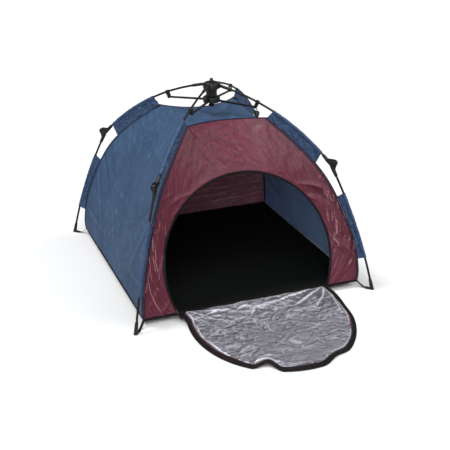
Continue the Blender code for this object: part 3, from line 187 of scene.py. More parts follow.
# %% Coated polyester taffeta
def coated_polyester(name, deep, pale, crumple_size, crumple_depth, gloss, glow):
    """Taffeta in two tones. Crumple in mm, gloss from 0 to 1, and the share of light let through."""
    made, tree, shader = blank_material(name)
    place = add_node(tree, "ShaderNodeTexCoord").outputs["Object"]
    cloth = add_node(tree, "ShaderNodeUVMap", {"uv_map": "cloth"})
    threads = {"wave_type": "BANDS", "Scale": band_scale(2.4), "Distortion": 0.4}
    warp, weft = (
        add_node(tree, "ShaderNodeTexWave", {**threads, "bands_direction": way}, {"Vector": cloth})
        for way in ("X", "Y")
    )
    weave = add_node(
        tree, "ShaderNodeMath", {"operation": "MULTIPLY"}, {0: warp.outputs["Fac"], 1: weft.outputs["Fac"]}
    )
    creased = {"Scale": noise_scale(crumple_size), "Detail": 4.0, "Roughness": 0.5}
    ridges = {"noise_type": "RIDGED_MULTIFRACTAL", **creased}
    crumple = add_node(tree, "ShaderNodeTexNoise", ridges, {"Vector": place})
    patchy = {"Scale": noise_scale(140.0), "Detail": 3.0, "Roughness": 0.5}
    patches = add_node(tree, "ShaderNodeTexNoise", patchy, {"Vector": place})
    faint = {"From Min": 0.3, "From Max": 0.7, "To Min": 0.43, "To Max": 0.57}
    patches = add_node(tree, "ShaderNodeMapRange", faint, {"Value": patches})
    # Painted highlight and shade: the crumple's ridges and the mesh's crests (the crease attribute) make the
    # colour paler, and its valleys darker. The patches are the cloth's own tone, which differs at random.
    patches_and_painted_crumple = add_node(tree, "ShaderNodeMath", {"operation": "MULTIPLY_ADD", 1: 0.30}, {0: crumple, 2: patches})
    crease = add_node(tree, "ShaderNodeAttribute", {"attribute_name": "crease"}).outputs["Fac"]
    shade = add_node(tree, "ShaderNodeMath", {"operation": "MULTIPLY_ADD", 1: 0.22}, {0: crease, 2: patches_and_painted_crumple})
    spread = add_node(tree, "ShaderNodeMapRange", {"From Min": 0.45, "From Max": 1.20}, {"Value": shade})
    tones = {"data_type": "RGBA", 6: linear(deep), 7: linear(pale)}
    colour = add_node(tree, "ShaderNodeMix", tones, {"Factor": spread}).outputs[2]
    dull, at_crests = 0.66 - 0.25 * gloss, 0.54 - 0.25 * gloss
    rough = add_node(
        tree, "ShaderNodeMapRange", {"From Max": 2.0, "To Min": dull, "To Max": at_crests}, {"Value": crumple}
    )
    fine = add_node(tree, "ShaderNodeBump", {"Strength": 0.25, "Distance": 0.0002}, {"Height": weave})
    deep_bump = {"Strength": 1.0, "Distance": crumple_depth / 1000}
    broad = add_node(tree, "ShaderNodeBump", deep_bump, {"Height": crumple, "Normal": fine})
    settle(
        shader,
        {
            "Specular IOR Level": 0.04 + 0.50 * gloss,
            "Sheen Weight": 0.01 + 0.05 * gloss,
            "Sheen Roughness": 0.4,
        },
        {"Base Color": colour, "Roughness": rough, "Normal": broad},
    )
    through = add_node(tree, "ShaderNodeBsdfTranslucent", None, {"Color": colour, "Normal": broad})
    mixed = add_node(tree, "ShaderNodeMixShader", {"Fac": glow}, {1: shader, 2: through})
    settle(tree.nodes["Material Output"], None, {"Surface": mixed})
    return made


TAFFETAS = {
    "blue_polyester_taffeta": ("#31455f", "#597594", 26.0, 0.8, 0.1, 0.22),
    "blue_sleeve_taffeta": ("#2c3d58", "#5b7192", 14.0, 1.1, 0.2, 0.10),
    "maroon_polyester_taffeta": ("#480d21", "#7e2b43", 20.0, 0.9, 0.70, 0.18),
    "blue_coated_back": ("#7790b6", "#a6bcda", 26.0, 0.8, 0.0, 0.22),
    "maroon_coated_back": ("#8a5861", "#cfa8af", 20.0, 1.3, 0.1, 0.18),
    # The hem is the walls' own coated side, but its grey is paler than that coating: painted light for the
    # light its fold catches.
    "grey_hem_coating_painted_lit": ("#a8b2ba", "#d3d8dc", 14.0, 0.8, 0.1, 0.10),
}
blue_taffeta, sleeve_taffeta, maroon_taffeta, blue_coating, maroon_coating, painted_lit_hem_coating = (
    coated_polyester(name, *finish) for name, finish in TAFFETAS.items()
)
print("taffetas", ", ".join(TAFFETAS))

# %% [markdown]
# ** Silver-coated lining.** The door's inside has a thin aluminium-powder coating. It is
# half metal to the eye, and each crease catches the light as a bright line. The finest
# creases, below what the mesh can hold, are drawn as bump from two patterns. The colour is
# also painted paler along the crease pattern and the mesh's crests and darker in valleys:
# painted highlight and shade.

# %% Silver lining
silver_lining, tree, shader = blank_material("silver_coated_polyester")
cloth = add_node(tree, "ShaderNodeUVMap", {"uv_map": "cloth"})
drift = add_node(tree, "ShaderNodeTexNoise", {"Scale": noise_scale(45.0), "Detail": 3.0}, {"Vector": cloth})
pushed = {"operation": "MULTIPLY_ADD", 1: (0.03, 0.03, 0.03)}
bent = add_node(tree, "ShaderNodeVectorMath", pushed, {0: drift.outputs["Color"], 2: cloth})
cells = {"feature": "DISTANCE_TO_EDGE", "Scale": noise_scale(24.0)}
facets = add_node(tree, "ShaderNodeTexVoronoi", cells, {"Vector": bent}).outputs["Distance"]
ridges = {"noise_type": "RIDGED_MULTIFRACTAL", "Scale": noise_scale(30.0), "Detail": 5.0, "Roughness": 0.55}
creases = add_node(tree, "ShaderNodeTexNoise", ridges, {"Vector": bent})
# Painted highlight: the mesh's crests and the crease pattern make the silver paler, and valleys come out
# darker as painted shade.
painted_crest_light = add_node(tree, "ShaderNodeAttribute", {"attribute_name": "crease"}).outputs["Fac"]
at_crests = add_node(tree, "ShaderNodeMath", {"operation": "MULTIPLY_ADD", 1: 2.6}, {0: painted_crest_light, 2: creases})
tone = add_node(tree, "ShaderNodeMapRange", {"From Min": -1.3, "From Max": 3.6}, {"Value": at_crests})
tones = {"data_type": "RGBA", 6: linear("#4a4950"), 7: linear("#b4b3bb")}
colour = add_node(tree, "ShaderNodeMix", tones, {"Factor": tone}).outputs[2]
smoother = {"From Max": 2.0, "To Min": 0.50, "To Max": 0.38}
rough = add_node(tree, "ShaderNodeMapRange", smoother, {"Value": creases})
facet_bump = add_node(tree, "ShaderNodeBump", {"Strength": 0.5, "Distance": 0.0010}, {"Height": facets})
crease_bump = add_node(
    tree, "ShaderNodeBump", {"Strength": 0.6, "Distance": 0.0010}, {"Height": creases, "Normal": facet_bump}
)
settle(shader, {"Metallic": 0.45}, {"Base Color": colour, "Roughness": rough, "Normal": crease_bump})
print("lining ready")

# %% [markdown]
# **Floor sheet, webbing and thread.** The floor is a heavier coated cloth, dull and nearly
# black. Bindings and straps are woven polyester tape, with ribs across them.


# %% Floor sheet, webbing, thread
def two_tone_finish(tree, shader, deep, pale, tone, wear, roughness, bump):
    """Two tones, a roughness that runs from one value to another with wear, and a bump."""
    tones = {"data_type": "RGBA", 6: linear(deep), 7: linear(pale)}
    colour = add_node(tree, "ShaderNodeMix", tones, {"Factor": tone}).outputs[2]
    low, high = roughness
    by_wear = {"From Min": 0.3, "From Max": 0.7, "To Min": low, "To Max": high}
    rough = add_node(tree, "ShaderNodeMapRange", by_wear, {"Value": wear})
    settle(shader, None, {"Base Color": colour, "Roughness": rough, "Normal": bump})


def woven(name, deep, pale, rib, roughness, sheen):
    """Tape or heavy cloth with ribs this far apart in mm."""
    made, tree, shader = blank_material(name)
    place = add_node(tree, "ShaderNodeTexCoord").outputs["Object"]
    bands = {"wave_type": "BANDS", "bands_direction": "DIAGONAL", "Scale": band_scale(rib), "Distortion": 1.2}
    ribs = add_node(tree, "ShaderNodeTexWave", bands, {"Vector": place}).outputs["Fac"]
    mottled = {"Scale": noise_scale(9.0), "Detail": 4.0}
    grain = add_node(tree, "ShaderNodeTexNoise", mottled, {"Vector": place})
    blend = add_node(tree, "ShaderNodeMath", {"operation": "MULTIPLY_ADD", 1: 0.3}, {0: ribs, 2: grain})
    tone = add_node(tree, "ShaderNodeMapRange", {"From Min": 0.3}, {"Value": blend})
    bump = add_node(tree, "ShaderNodeBump", {"Strength": 0.6, "Distance": 0.0004}, {"Height": blend})
    two_tone_finish(tree, shader, deep, pale, tone, grain, (roughness + 0.08, roughness - 0.08), bump)
    settle(shader, {"Specular IOR Level": 0.08, "Sheen Weight": sheen})
    return made


floor_cloth = woven("black_coated_floor_cloth", "#060707", "#0d0f0e", 3.0, 0.80, 0.0)
black_tape = woven("black_polyester_tape", "#0d080a", "#1a1315", 2.4, 0.7, 0.0)
seam_tape = woven("navy_seam_binding", "#111724", "#222c40", 2.4, 0.65, 0.0)
wine_tape = woven("wine_seam_binding", "#2c1118", "#45202a", 2.4, 0.6, 0.08)
thread = woven("spun_polyester_thread", "#101116", "#1f2129", 0.8, 0.6, 0.1)
print("tapes", floor_cloth.name, black_tape.name, seam_tape.name, wine_tape.name)

# %% [markdown]
# **Moulded nylon, glass rod and enamelled zinc.** The fittings are black glass-filled
# nylon from a spark-eroded mould, so they have a fine even grain. The rods are pultruded:
# fibres run along them under a dull resin skin.


# %% Hard finishes
def moulded(name, deep, pale, grain, roughness, shine):
    """Moulded plastic, resin or enamel with a fine grain, in mm, and a specular level."""
    made, tree, shader = blank_material(name)
    place = add_node(tree, "ShaderNodeTexCoord").outputs["Object"]
    fine = {"Scale": noise_scale(grain), "Detail": 3.0, "Roughness": 0.6}
    texture = add_node(tree, "ShaderNodeTexNoise", fine, {"Vector": place})
    handled = {"Scale": noise_scale(22.0), "Detail": 5.0}
    wear = add_node(tree, "ShaderNodeTexNoise", handled, {"Vector": place})
    tone = add_node(tree, "ShaderNodeMapRange", {"From Min": 0.35, "From Max": 0.75}, {"Value": wear})
    bump = add_node(tree, "ShaderNodeBump", {"Strength": 0.35, "Distance": 0.0001}, {"Height": texture})
    two_tone_finish(tree, shader, deep, pale, tone, wear, (roughness - 0.06, roughness + 0.08), bump)
    settle(shader, {"Specular IOR Level": shine})
    return made


nylon = moulded("black_glass_filled_nylon", "#060707", "#101112", 0.8, 0.42, 0.28)
glass_rod = moulded("black_pultruded_glass_rod", "#070708", "#0f0f10", 3.0, 0.42, 0.22)
enamel = moulded("black_enamelled_zinc", "#0a0a0b", "#161618", 1.5, 0.25, 0.5)
print("hard finishes ready")

# %% [markdown]
# ## The pole line
# Everything soft hangs from four equal poles, each in its own upright plane through the
# hub. Two shallow arcs meet at the elbow. Working in radius and height in that plane keeps
# the four corners alike.

# %% Pole line and corner seam
POLE_AZIMUTH = math.radians(46.0)
HUB_PIVOT, ELBOW, FOOT = Vector((0.025, 0.600)), Vector((0.4025, 0.3925)), Vector((0.556, 0.0))
POLE_RADIUS = 0.0034
# The corner seam: distances down the pole, and how far inside the pole the seam runs there
SEAM_STATIONS = (
    (0.187, 0.029), (0.300, 0.037), (0.400, 0.037), (0.490, 0.029),
    (0.590, 0.021), (0.700, 0.019), (0.790, 0.031), (0.836, 0.046),
)
EDGE_LIFT = 0.0195
UPPER_BOW, LOWER_BOW = 0.035, 0.014
CORNERS = {"front_left": (-1, -1), "front_right": (1, -1), "back_left": (-1, 1), "back_right": (1, 1)}


def outward(direction):
    return Vector((-direction.y, direction.x)).normalized()


def bowed(start, end, bow):
    """Length of a shallow arc, and a function from distance to point and tangent."""
    chord = end - start
    along, side, middle = chord.normalized(), outward(chord), (start + end) / 2
    radius = (chord.length_squared / 4 + bow**2) / (2 * bow)
    half = math.asin(chord.length / 2 / radius)

    def at(distance):
        turn = distance / radius - half
        point = middle + along * (radius * math.sin(turn)) + side * (radius * math.cos(turn) - radius + bow)
        return point, along * math.cos(turn) - side * math.sin(turn)

    return 2 * radius * half, at


UPPER_LENGTH, upper_at = bowed(HUB_PIVOT, ELBOW, UPPER_BOW)
LOWER_LENGTH, lower_at = bowed(ELBOW, FOOT, LOWER_BOW)


def pole_at(distance):
    return upper_at(distance) if distance <= UPPER_LENGTH else lower_at(distance - UPPER_LENGTH)


def spline_point(points, share):
    """A point on the smooth curve through a list of points."""
    spans = len(points) - 1
    place = min(max(share * spans, 0.0), spans - 1e-9)
    i = int(place)
    t = place - i
    before = points[i - 1] if i > 0 else 2 * points[0] - points[1]
    after = points[i + 2] if i + 2 <= spans else 2 * points[-1] - points[-2]
    a, b = points[i], points[i + 1]
    bend = (2 * before - 5 * a + 4 * b - after) * t**2 + (3 * a - before - 3 * b + after) * t**3
    return 0.5 * (2 * a + (b - before) * t + bend)


def seam_points():
    points = []
    for distance, gap in SEAM_STATIONS:
        point, tangent = pole_at(distance)
        points.append(point - outward(tangent) * gap)
    points[-1].y = EDGE_LIFT
    return points


SEAM = seam_points()


def seam_at(share):
    """The corner seam from the roof corner, share 0, to the floor corner, share 1."""
    return spline_point(SEAM, share)


def in_corner(corner, radius, height, side=0.0):
    """A point of a corner's own upright plane, in the tent's frame."""
    sign_x, sign_y = CORNERS[corner]
    turn = math.atan2(sign_y * math.sin(POLE_AZIMUTH), sign_x * math.cos(POLE_AZIMUTH))
    return Matrix.Rotation(turn, 3, "Z") @ Vector((radius, side, height))


ROOF_X, ROOF_Y = (SEAM[0].x * f(POLE_AZIMUTH) for f in (math.cos, math.sin))
FLOOR_X, FLOOR_Y = (SEAM[-1].x * f(POLE_AZIMUTH) for f in (math.cos, math.sin))
ROOF_Z = SEAM[0].y
print("roof corner", [round(v, 4) for v in (ROOF_X, ROOF_Y, ROOF_Z)])
print("floor corner", [round(v, 4) for v in (FLOOR_X, FLOOR_Y)])

# %% [markdown]
# ## Cloth from a rule
# A panel of the body is a smooth surface between sewn edges. Each is written as a function
# from two shares, 0 to 1, to a point. One builder samples it, raises the creases along the
# surface's own normals, gives the sheet a thickness and maps it in metres, so that the
# weave keeps its size and follows the cloth.


# %% Relief: crumple, creases between cells, and single folds
def crumple(x, y, size_x, size_y, seed, sharp=True):
    """Noise over flat coordinates, in metres, with features this long each way."""
    made = np.empty(x.shape)
    for index, (a, b) in enumerate(zip(x.flat, y.flat)):
        spot = Vector((a / size_x, b / size_y, seed))
        if sharp:
            made.flat[index] = noise.ridged_multi_fractal(spot, 0.9, 2.1, 3, 0.9, 2.0) - 1.0
        else:
            made.flat[index] = noise.fractal(spot, 1.0, 2.0, 3)
    return made


def facet_net(x, y, size_x, size_y, seed, uneven=0.75):
    """Flat facets between points of random height, from -1 to 1, as in crushed foil."""
    draw = np.random.default_rng(seed)
    across = np.arange(x.min() - 2 * size_x, x.max() + 2 * size_x, size_x)
    along = np.arange(y.min() - 2 * size_y, y.max() + 2 * size_y, size_y)
    grid_x, grid_y = np.meshgrid(across, along)
    staggered = 0.5 * (np.arange(len(along))[:, None] % 2)
    grid_x = grid_x + size_x * (staggered + uneven * (draw.random(grid_x.shape) - 0.5))
    grid_y = grid_y + size_y * uneven * (draw.random(grid_y.shape) - 0.5)
    spots = [Vector(pair) for pair in zip(grid_x.ravel(), grid_y.ravel())]
    spots, _, faces, *_ = geometry.delaunay_2d_cdt(spots, [], [], 0, 1e-7)
    height = draw.uniform(-1, 1, len(spots))
    made = np.zeros(x.shape)
    for a, b, c in faces:
        (ax, ay), (bx, by), (cx, cy) = spots[a], spots[b], spots[c]
        low_x, high_x, low_y, high_y = min(ax, bx, cx), max(ax, bx, cx), min(ay, by, cy), max(ay, by, cy)
        near = np.nonzero((x >= low_x) & (x <= high_x) & (y >= low_y) & (y <= high_y))
        if not len(near[0]):
            continue
        double_area = (bx - ax) * (cy - ay) - (cx - ax) * (by - ay)
        share_b = ((x[near] - ax) * (cy - ay) - (cx - ax) * (y[near] - ay)) / double_area
        share_c = ((bx - ax) * (y[near] - ay) - (x[near] - ax) * (by - ay)) / double_area
        inside = (share_b >= -1e-9) & (share_c >= -1e-9) & (share_b + share_c <= 1 + 1e-9)
        value = height[a] + share_b * (height[b] - height[a]) + share_c * (height[c] - height[a])
        made[near[0][inside], near[1][inside]] = value[inside]
    return made


def folds(x, y, lines):
    """Single folds: start, end, half width and height, all in metres. They fade at both ends."""
    made = np.zeros(x.shape)
    for (ax, ay), (bx, by), width, height in lines:
        length = math.hypot(bx - ax, by - ay)
        ux, uy = (bx - ax) / length, (by - ay) / length
        along = ((x - ax) * ux + (y - ay) * uy) / length
        across = (y - ay) * ux - (x - ax) * uy
        spread = width * (0.45 + 0.75 * np.clip(along, 0, 1))
        crest = np.exp(-((np.abs(across) / spread) ** 1.5))
        made += height * crest * np.sin(math.pi * np.clip(along, 0, 1)) ** 0.7
    return made


def edge_window(u, v, border):
    """0 on the panel's edges, 1 inside a border given as shares (u, v)."""
    fade_u = np.clip(np.minimum(u, 1 - u) / border[0], 0, 1)
    fade_v = np.clip(np.minimum(v, 1 - v) / border[1], 0, 1)
    fade = fade_u * fade_v
    return fade * fade * (3 - 2 * fade)


# %% Build a cloth sheet
INSIDE = np.array((0.0, 0.0, 0.20))
FAR_BELOW = np.array((0.0, 0.0, -5.0))


def surface_normals(points, inside):
    along_u, along_v = np.gradient(points, axis=1), np.gradient(points, axis=0)
    normal = np.cross(along_u, along_v)
    normal /= np.linalg.norm(normal, axis=2, keepdims=True)
    facing = np.sum(normal * (points - inside), axis=2, keepdims=True)
    return normal * np.where(facing < 0, -1.0, 1.0)


def crease_sharpness(raised, cell):
    """How sharply the relief turns at each point: above 0 on a crest, below 0 in a valley."""
    around = np.pad(raised, 1, mode="edge")
    mean = (around[:-2, 1:-1] + around[2:, 1:-1] + around[1:-1, :-2] + around[1:-1, 2:]) / 4
    return np.clip(12.0 * (raised - mean) / cell, -1, 1)


def cloth_sheet(name, points, material, thickness=0.0007, relief=None, inside=INSIDE, coating=None):
    """points is a grid (rows, columns, 3) of the outer face. relief(x, y, u, v) raises it, in metres."""
    rows, columns = points.shape[:2]
    step_u = np.linalg.norm(np.diff(points, axis=1), axis=2)
    step_v = np.linalg.norm(np.diff(points, axis=0), axis=2)
    flat_x = np.concatenate((np.zeros((rows, 1)), np.cumsum(step_u, axis=1)), axis=1)
    flat_x -= flat_x[:, -1:] / 2
    flat_y = np.concatenate((np.zeros((1, columns)), np.cumsum(step_v, axis=0)), axis=0)
    v, u = np.meshgrid(np.linspace(0, 1, rows), np.linspace(0, 1, columns), indexing="ij")
    raised = relief(flat_x, flat_y, u, v) if relief else np.zeros(u.shape)
    points = points + surface_normals(points, inside) * raised[..., None]
    back = points - surface_normals(points, inside) * thickness
    sharpness = crease_sharpness(raised, max(step_u.mean(), step_v.mean()))
    count = rows * columns
    index = np.arange(count).reshape(rows, columns)
    cells = np.stack((index[:-1, :-1], index[:-1, 1:], index[1:, 1:], index[1:, :-1]), axis=2).reshape(-1, 4)
    rim = list(index[0, :]) + list(index[1:, -1]) + list(index[-1, -2::-1]) + list(index[-2:0:-1, 0])
    sides = [list(map(int, (a, a + count, b + count, b))) for a, b in zip(rim, rim[1:] + rim[:1])]
    faces = cells.tolist() + (cells[:, ::-1] + count).tolist() + sides
    mesh = bpy.data.meshes.new(name)
    mesh.from_pydata(np.concatenate((points.reshape(-1, 3), back.reshape(-1, 3))).tolist(), [], faces)
    layer = mesh.uv_layers.new(name="cloth")
    loops = np.empty(len(mesh.loops), dtype=np.int32)
    mesh.loops.foreach_get("vertex_index", loops)
    flat = np.stack((flat_x.ravel(), flat_y.ravel()), axis=1)
    layer.data.foreach_set("uv", flat[loops % count].ravel())
    # Kept as the crease attribute, which the cloth finishes use to paint crests paler and valleys darker:
    # painted highlight and shade.
    crease = mesh.attributes.new("crease", "FLOAT", "POINT")
    crease.data.foreach_set("value", np.tile(sharpness.ravel(), 2))
    bm = bmesh.new()
    bm.from_mesh(mesh)
    bmesh.ops.recalc_face_normals(bm, faces=bm.faces)
    bm.to_mesh(mesh)
    bm.free()
    mesh.shade_smooth()
    mesh.materials.append(material)
    if coating:
        mesh.materials.append(coating)
        on_back = np.zeros(len(mesh.polygons), dtype=np.int32)
        on_back[len(cells) : 2 * len(cells)] = 1
        mesh.polygons.foreach_set("material_index", on_back)
    return shown(name, mesh)


def heap(piece):
    """A piece of the cloth body, seated on the tent's body with a mesh of its own."""
    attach(piece, "tent")
    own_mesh(piece)
    return piece


# %% [markdown]
# ## The blue canopy
# On the real tent the side walls and the roof are one taut run of cloth from floor to
# floor, with no crease where the roof bends into a wall. So the three solids become one
# sheet, sampled from the left floor edge over the roof to the right, and the bend is
# relaxed by averaging neighbours.

# %% Blue canopy
WALL_SAG = 0.018
ROOF_SEAM_CURVE, ROOF_SEAM_DROP = 0.053, 0.007
RIDGE_CURVE, RIDGE_DROP = 0.012, 0.004
WALL_CELLS, ROOF_CELLS, DEPTH_CELLS = 108, 50, 140


def side_wall(sign, height_share, depth_share):
    """A side wall's point. height 0 is the floor, 1 the roof; depth -1 is the front, 1 the back."""
    seam = seam_at(1 - height_share)
    bend = 1 - depth_share**2
    x = seam.x * math.cos(POLE_AZIMUTH) - height_share * RIDGE_CURVE * bend
    x -= WALL_SAG * bend * math.sin(math.pi * min(height_share * 1.15, 1.0))
    y = depth_share * seam.x * math.sin(POLE_AZIMUTH)
    return Vector((sign * x, y, seam.y - height_share * RIDGE_DROP * bend))


def roof(across, depth):
    """A roof point, from -1 to 1 each way, between two curved seams and two soft bends."""
    bend_a, bend_d = 1 - across**2, 1 - depth**2
    x = across * ROOF_X - across * RIDGE_CURVE * bend_d
    y = depth * ROOF_Y - depth * ROOF_SEAM_CURVE * bend_a
    return Vector((x, y, ROOF_Z - ROOF_SEAM_DROP * bend_a - RIDGE_DROP * bend_d))


def canopy_points():
    rows = []
    for j in range(DEPTH_CELLS + 1):
        depth = 2 * j / DEPTH_CELLS - 1
        left = [side_wall(-1, i / WALL_CELLS, depth) for i in range(WALL_CELLS)]
        top = [roof(2 * i / ROOF_CELLS - 1, depth) for i in range(ROOF_CELLS + 1)]
        right = [side_wall(1, i / WALL_CELLS, depth) for i in reversed(range(WALL_CELLS))]
        rows.append(left + top + right)
    return np.array(rows)


def relaxed(points):
    """Rounds the two bends between roof and wall, except at the sewn front and back edges."""
    rows, columns = points.shape[:2]
    column = np.arange(columns)
    near = np.zeros(columns)
    for bend in (WALL_CELLS, WALL_CELLS + ROOF_CELLS):
        near = np.maximum(near, np.exp(-(((column - bend) / 9.0) ** 2)))
    depth = np.linspace(0, 1, rows)
    weight = near[None, :] * np.clip(np.minimum(depth, 1 - depth) / 0.06, 0, 1)[:, None]
    for _ in range(60):
        middle = (points[:, :-2] + points[:, 2:]) / 2
        points[:, 1:-1] += (middle - points[:, 1:-1]) * weight[:, 1:-1, None] * 0.5
    return points


def canopy_relief(x, y, u, v):
    """Tension folds from the sleeves' ends, and the crumple of cloth that was packed."""
    wide = crumple(x, y, 0.16, 0.30, 3.1)
    upright = crumple(x + 0.25 * y, y, 0.075, 0.030, 7.7)
    small = facet_net(x, y - 0.3 * x, 0.050, 0.024, 7)
    height = 0.0020 * wide + 0.0006 * upright + 0.0004 * small
    lines = []
    for side in (-1, 1):
        for corner_y, sign in ((0.0, 1), (0.72, -1)):
            lines += [
                ((side * 0.37, corner_y), (side * 0.50, corner_y + sign * 0.26), 0.020, -0.0035),
                ((side * 0.40, corner_y), (side * 0.62, corner_y + sign * 0.20), 0.014, 0.0030),
                ((side * 0.30, corner_y), (side * 0.22, corner_y + sign * 0.22), 0.018, 0.0028),
                ((side * 0.66, corner_y), (side * 0.60, corner_y + sign * 0.24), 0.016, 0.0030),
            ]
    height += folds(x, y, lines)
    return height * edge_window(u, v, (0.03, 0.05))


canopy = cloth_sheet(
    "blue_canopy", relaxed(canopy_points()), blue_taffeta, relief=canopy_relief, coating=blue_coating
)
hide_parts("wall_left", "wall_right", "roof_panel")

# %% [markdown]
# ## Front and back
# The back is a plain maroon panel. The front is the same shape with a round doorway, so
# what is left is a strip round the arch, pulled taut from the zip out to the seams. Its
# broad lower corners carry the longest creases.

# %% Back panel
BACK_CELLS, BACK_ROWS = 130, 110


def back_point(across, height_share):
    """A point of the back panel: across -1 to 1, height 0 at the floor."""
    seam = seam_at(1 - height_share)
    bend = 1 - across**2
    y = seam.x * math.sin(POLE_AZIMUTH) - height_share * ROOF_SEAM_CURVE * bend
    y -= WALL_SAG * bend * math.sin(math.pi * min(height_share * 1.15, 1.0))
    x = across * seam.x * math.cos(POLE_AZIMUTH)
    return Vector((x, y, seam.y - height_share * ROOF_SEAM_DROP * bend))


def back_relief(x, y, u, v):
    """Long level creases, from hanging in a bag folded that way."""
    level = crumple(x, y, 0.34, 0.045, 5.4)
    small = facet_net(x, y, 0.090, 0.024, 9)
    return (0.0050 * level + 0.0022 * small) * edge_window(u, v, (0.04, 0.04))


back_across = [2 * i / BACK_CELLS - 1 for i in range(BACK_CELLS + 1)]
back_grid = [[back_point(across, j / BACK_ROWS) for across in back_across] for j in range(BACK_ROWS + 1)]
back = cloth_sheet(
    "maroon_back", np.array(back_grid), maroon_taffeta, relief=back_relief, coating=maroon_coating
)
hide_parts("back_panel")

# %% Doorway plane and arch
DOOR_LEAN = math.radians(20.0)
DOOR_RADIUS, TAPE_WIDTH, DOOR_CENTRE_RISE = 0.268, 0.0052, 0.115
DOOR_UP = Vector((0.0, math.sin(DOOR_LEAN), math.cos(DOOR_LEAN)))
DOOR_OUT = Vector((0.0, -math.cos(DOOR_LEAN), math.sin(DOOR_LEAN)))
DOOR_BASE_LIFT = 0.0030
DOOR_BASE = Vector((0.0, 0.0008 - FLOOR_Y, EDGE_LIFT + DOOR_BASE_LIFT))
DOOR_CENTRE = DOOR_BASE + DOOR_UP * DOOR_CENTRE_RISE
PANEL_ARCH_RADIUS = DOOR_RADIUS + TAPE_WIDTH + 0.0003


def door_point(radius, angle, out=0.0):
    """A point of the door's plane, by radius and angle about the arch's centre."""
    flat = Vector((math.cos(angle) * radius, 0.0, 0.0)) + DOOR_UP * (math.sin(angle) * radius)
    return DOOR_CENTRE + flat + DOOR_OUT * out


ARCH_FOOT = -math.asin((DOOR_CENTRE_RISE + DOOR_BASE_LIFT / math.cos(DOOR_LEAN)) / PANEL_ARCH_RADIUS)
ARCH_CORNER = math.atan2((ROOF_Z - DOOR_CENTRE.z) / math.cos(DOOR_LEAN), ROOF_X)
print("arch runs from", round(math.degrees(ARCH_FOOT), 1), "degrees on the right")

# %% Front panel
SIDE_SHARE = 12 / 32
FRONT_CELLS, FRONT_ROWS = 420, 42


def arch_angle(share):
    """The arch's angle: 0 is the right foot, 1 the left, and roof corners fall at SIDE_SHARE."""
    half = min(share, 1 - share)
    if half < SIDE_SHARE:
        angle = ARCH_FOOT + (ARCH_CORNER - ARCH_FOOT) * half / SIDE_SHARE
    else:
        angle = ARCH_CORNER + (math.pi / 2 - ARCH_CORNER) * (half - SIDE_SHARE) / (0.5 - SIDE_SHARE)
    return angle if share <= 0.5 else math.pi - angle


def front_edge(share):
    """The front panel's outer edge at a share: right seam, roof seam, left seam."""
    half = min(share, 1 - share)
    sign = 1 if share <= 0.5 else -1
    if half < SIDE_SHARE:
        seam = seam_at(1 - half / SIDE_SHARE)
        return Vector((sign * seam.x * math.cos(POLE_AZIMUTH), -seam.x * math.sin(POLE_AZIMUTH), seam.y))
    return roof(sign * (1 - (half - SIDE_SHARE) / (0.5 - SIDE_SHARE)), -1)


def front_points():
    rows = []
    for k in range(FRONT_ROWS + 1):
        row = []
        for i in range(FRONT_CELLS + 1):
            share = i / FRONT_CELLS
            inner = door_point(PANEL_ARCH_RADIUS, arch_angle(share), 0.0005)
            if i in (0, FRONT_CELLS):
                inner.z = EDGE_LIFT
            row.append(inner.lerp(front_edge(share), k / FRONT_ROWS))
        rows.append(row)
    return np.array(rows)


# The strip's length and width, and its single creases by shares of them: round the arch from its
# right foot, and out from the arch to the seams. Then half width and height.
FRONT_SPAN = np.array((1.30, 0.12))
FRONT_CREASES = (
    ((0.290, 0.05), (0.185, 0.98), 0.0090, 0.0060),
    ((0.264, 0.02), (0.150, 1.00), 0.0180, -0.0060),
    ((0.246, 0.00), (0.214, 0.24), 0.0050, 0.0035),
    ((0.139, 0.00), (0.088, 0.58), 0.0050, 0.0050),
    ((0.121, 0.22), (0.078, 1.00), 0.0060, 0.0030),
    ((0.131, 0.45), (0.100, 0.98), 0.0090, -0.0035),
    ((0.068, 0.25), (0.022, 0.00), 0.0060, 0.0030),
    ((0.080, 0.84), (0.030, 0.36), 0.0070, 0.0035),
    ((0.845, 0.00), (0.915, 0.34), 0.0055, 0.0050),
    ((0.685, 0.00), (0.765, 0.50), 0.0090, 0.0048),
    ((0.730, 0.00), (0.760, 0.11), 0.0045, 0.0035),
    ((0.695, 0.20), (0.742, 0.15), 0.0060, -0.0025),
    ((0.630, 0.72), (0.576, 0.00), 0.0090, -0.0024),
    ((0.600, 0.55), (0.540, 0.00), 0.0080, 0.0018),
    ((0.726, 0.50), (0.762, 0.78), 0.0050, 0.0035),
    ((0.866, 0.72), (0.932, 1.00), 0.0070, 0.0040),
    ((0.912, 0.25), (0.964, 0.86), 0.0070, 0.0035),
    ((0.960, 0.00), (0.995, 0.52), 0.0065, 0.0030),
    ((0.490, 0.72), (0.430, 0.12), 0.0110, 0.0012),
    ((0.392, 0.86), (0.320, 0.22), 0.0120, 0.0012),
    ((0.553, 1.00), (0.578, 0.40), 0.0080, 0.0018),
)


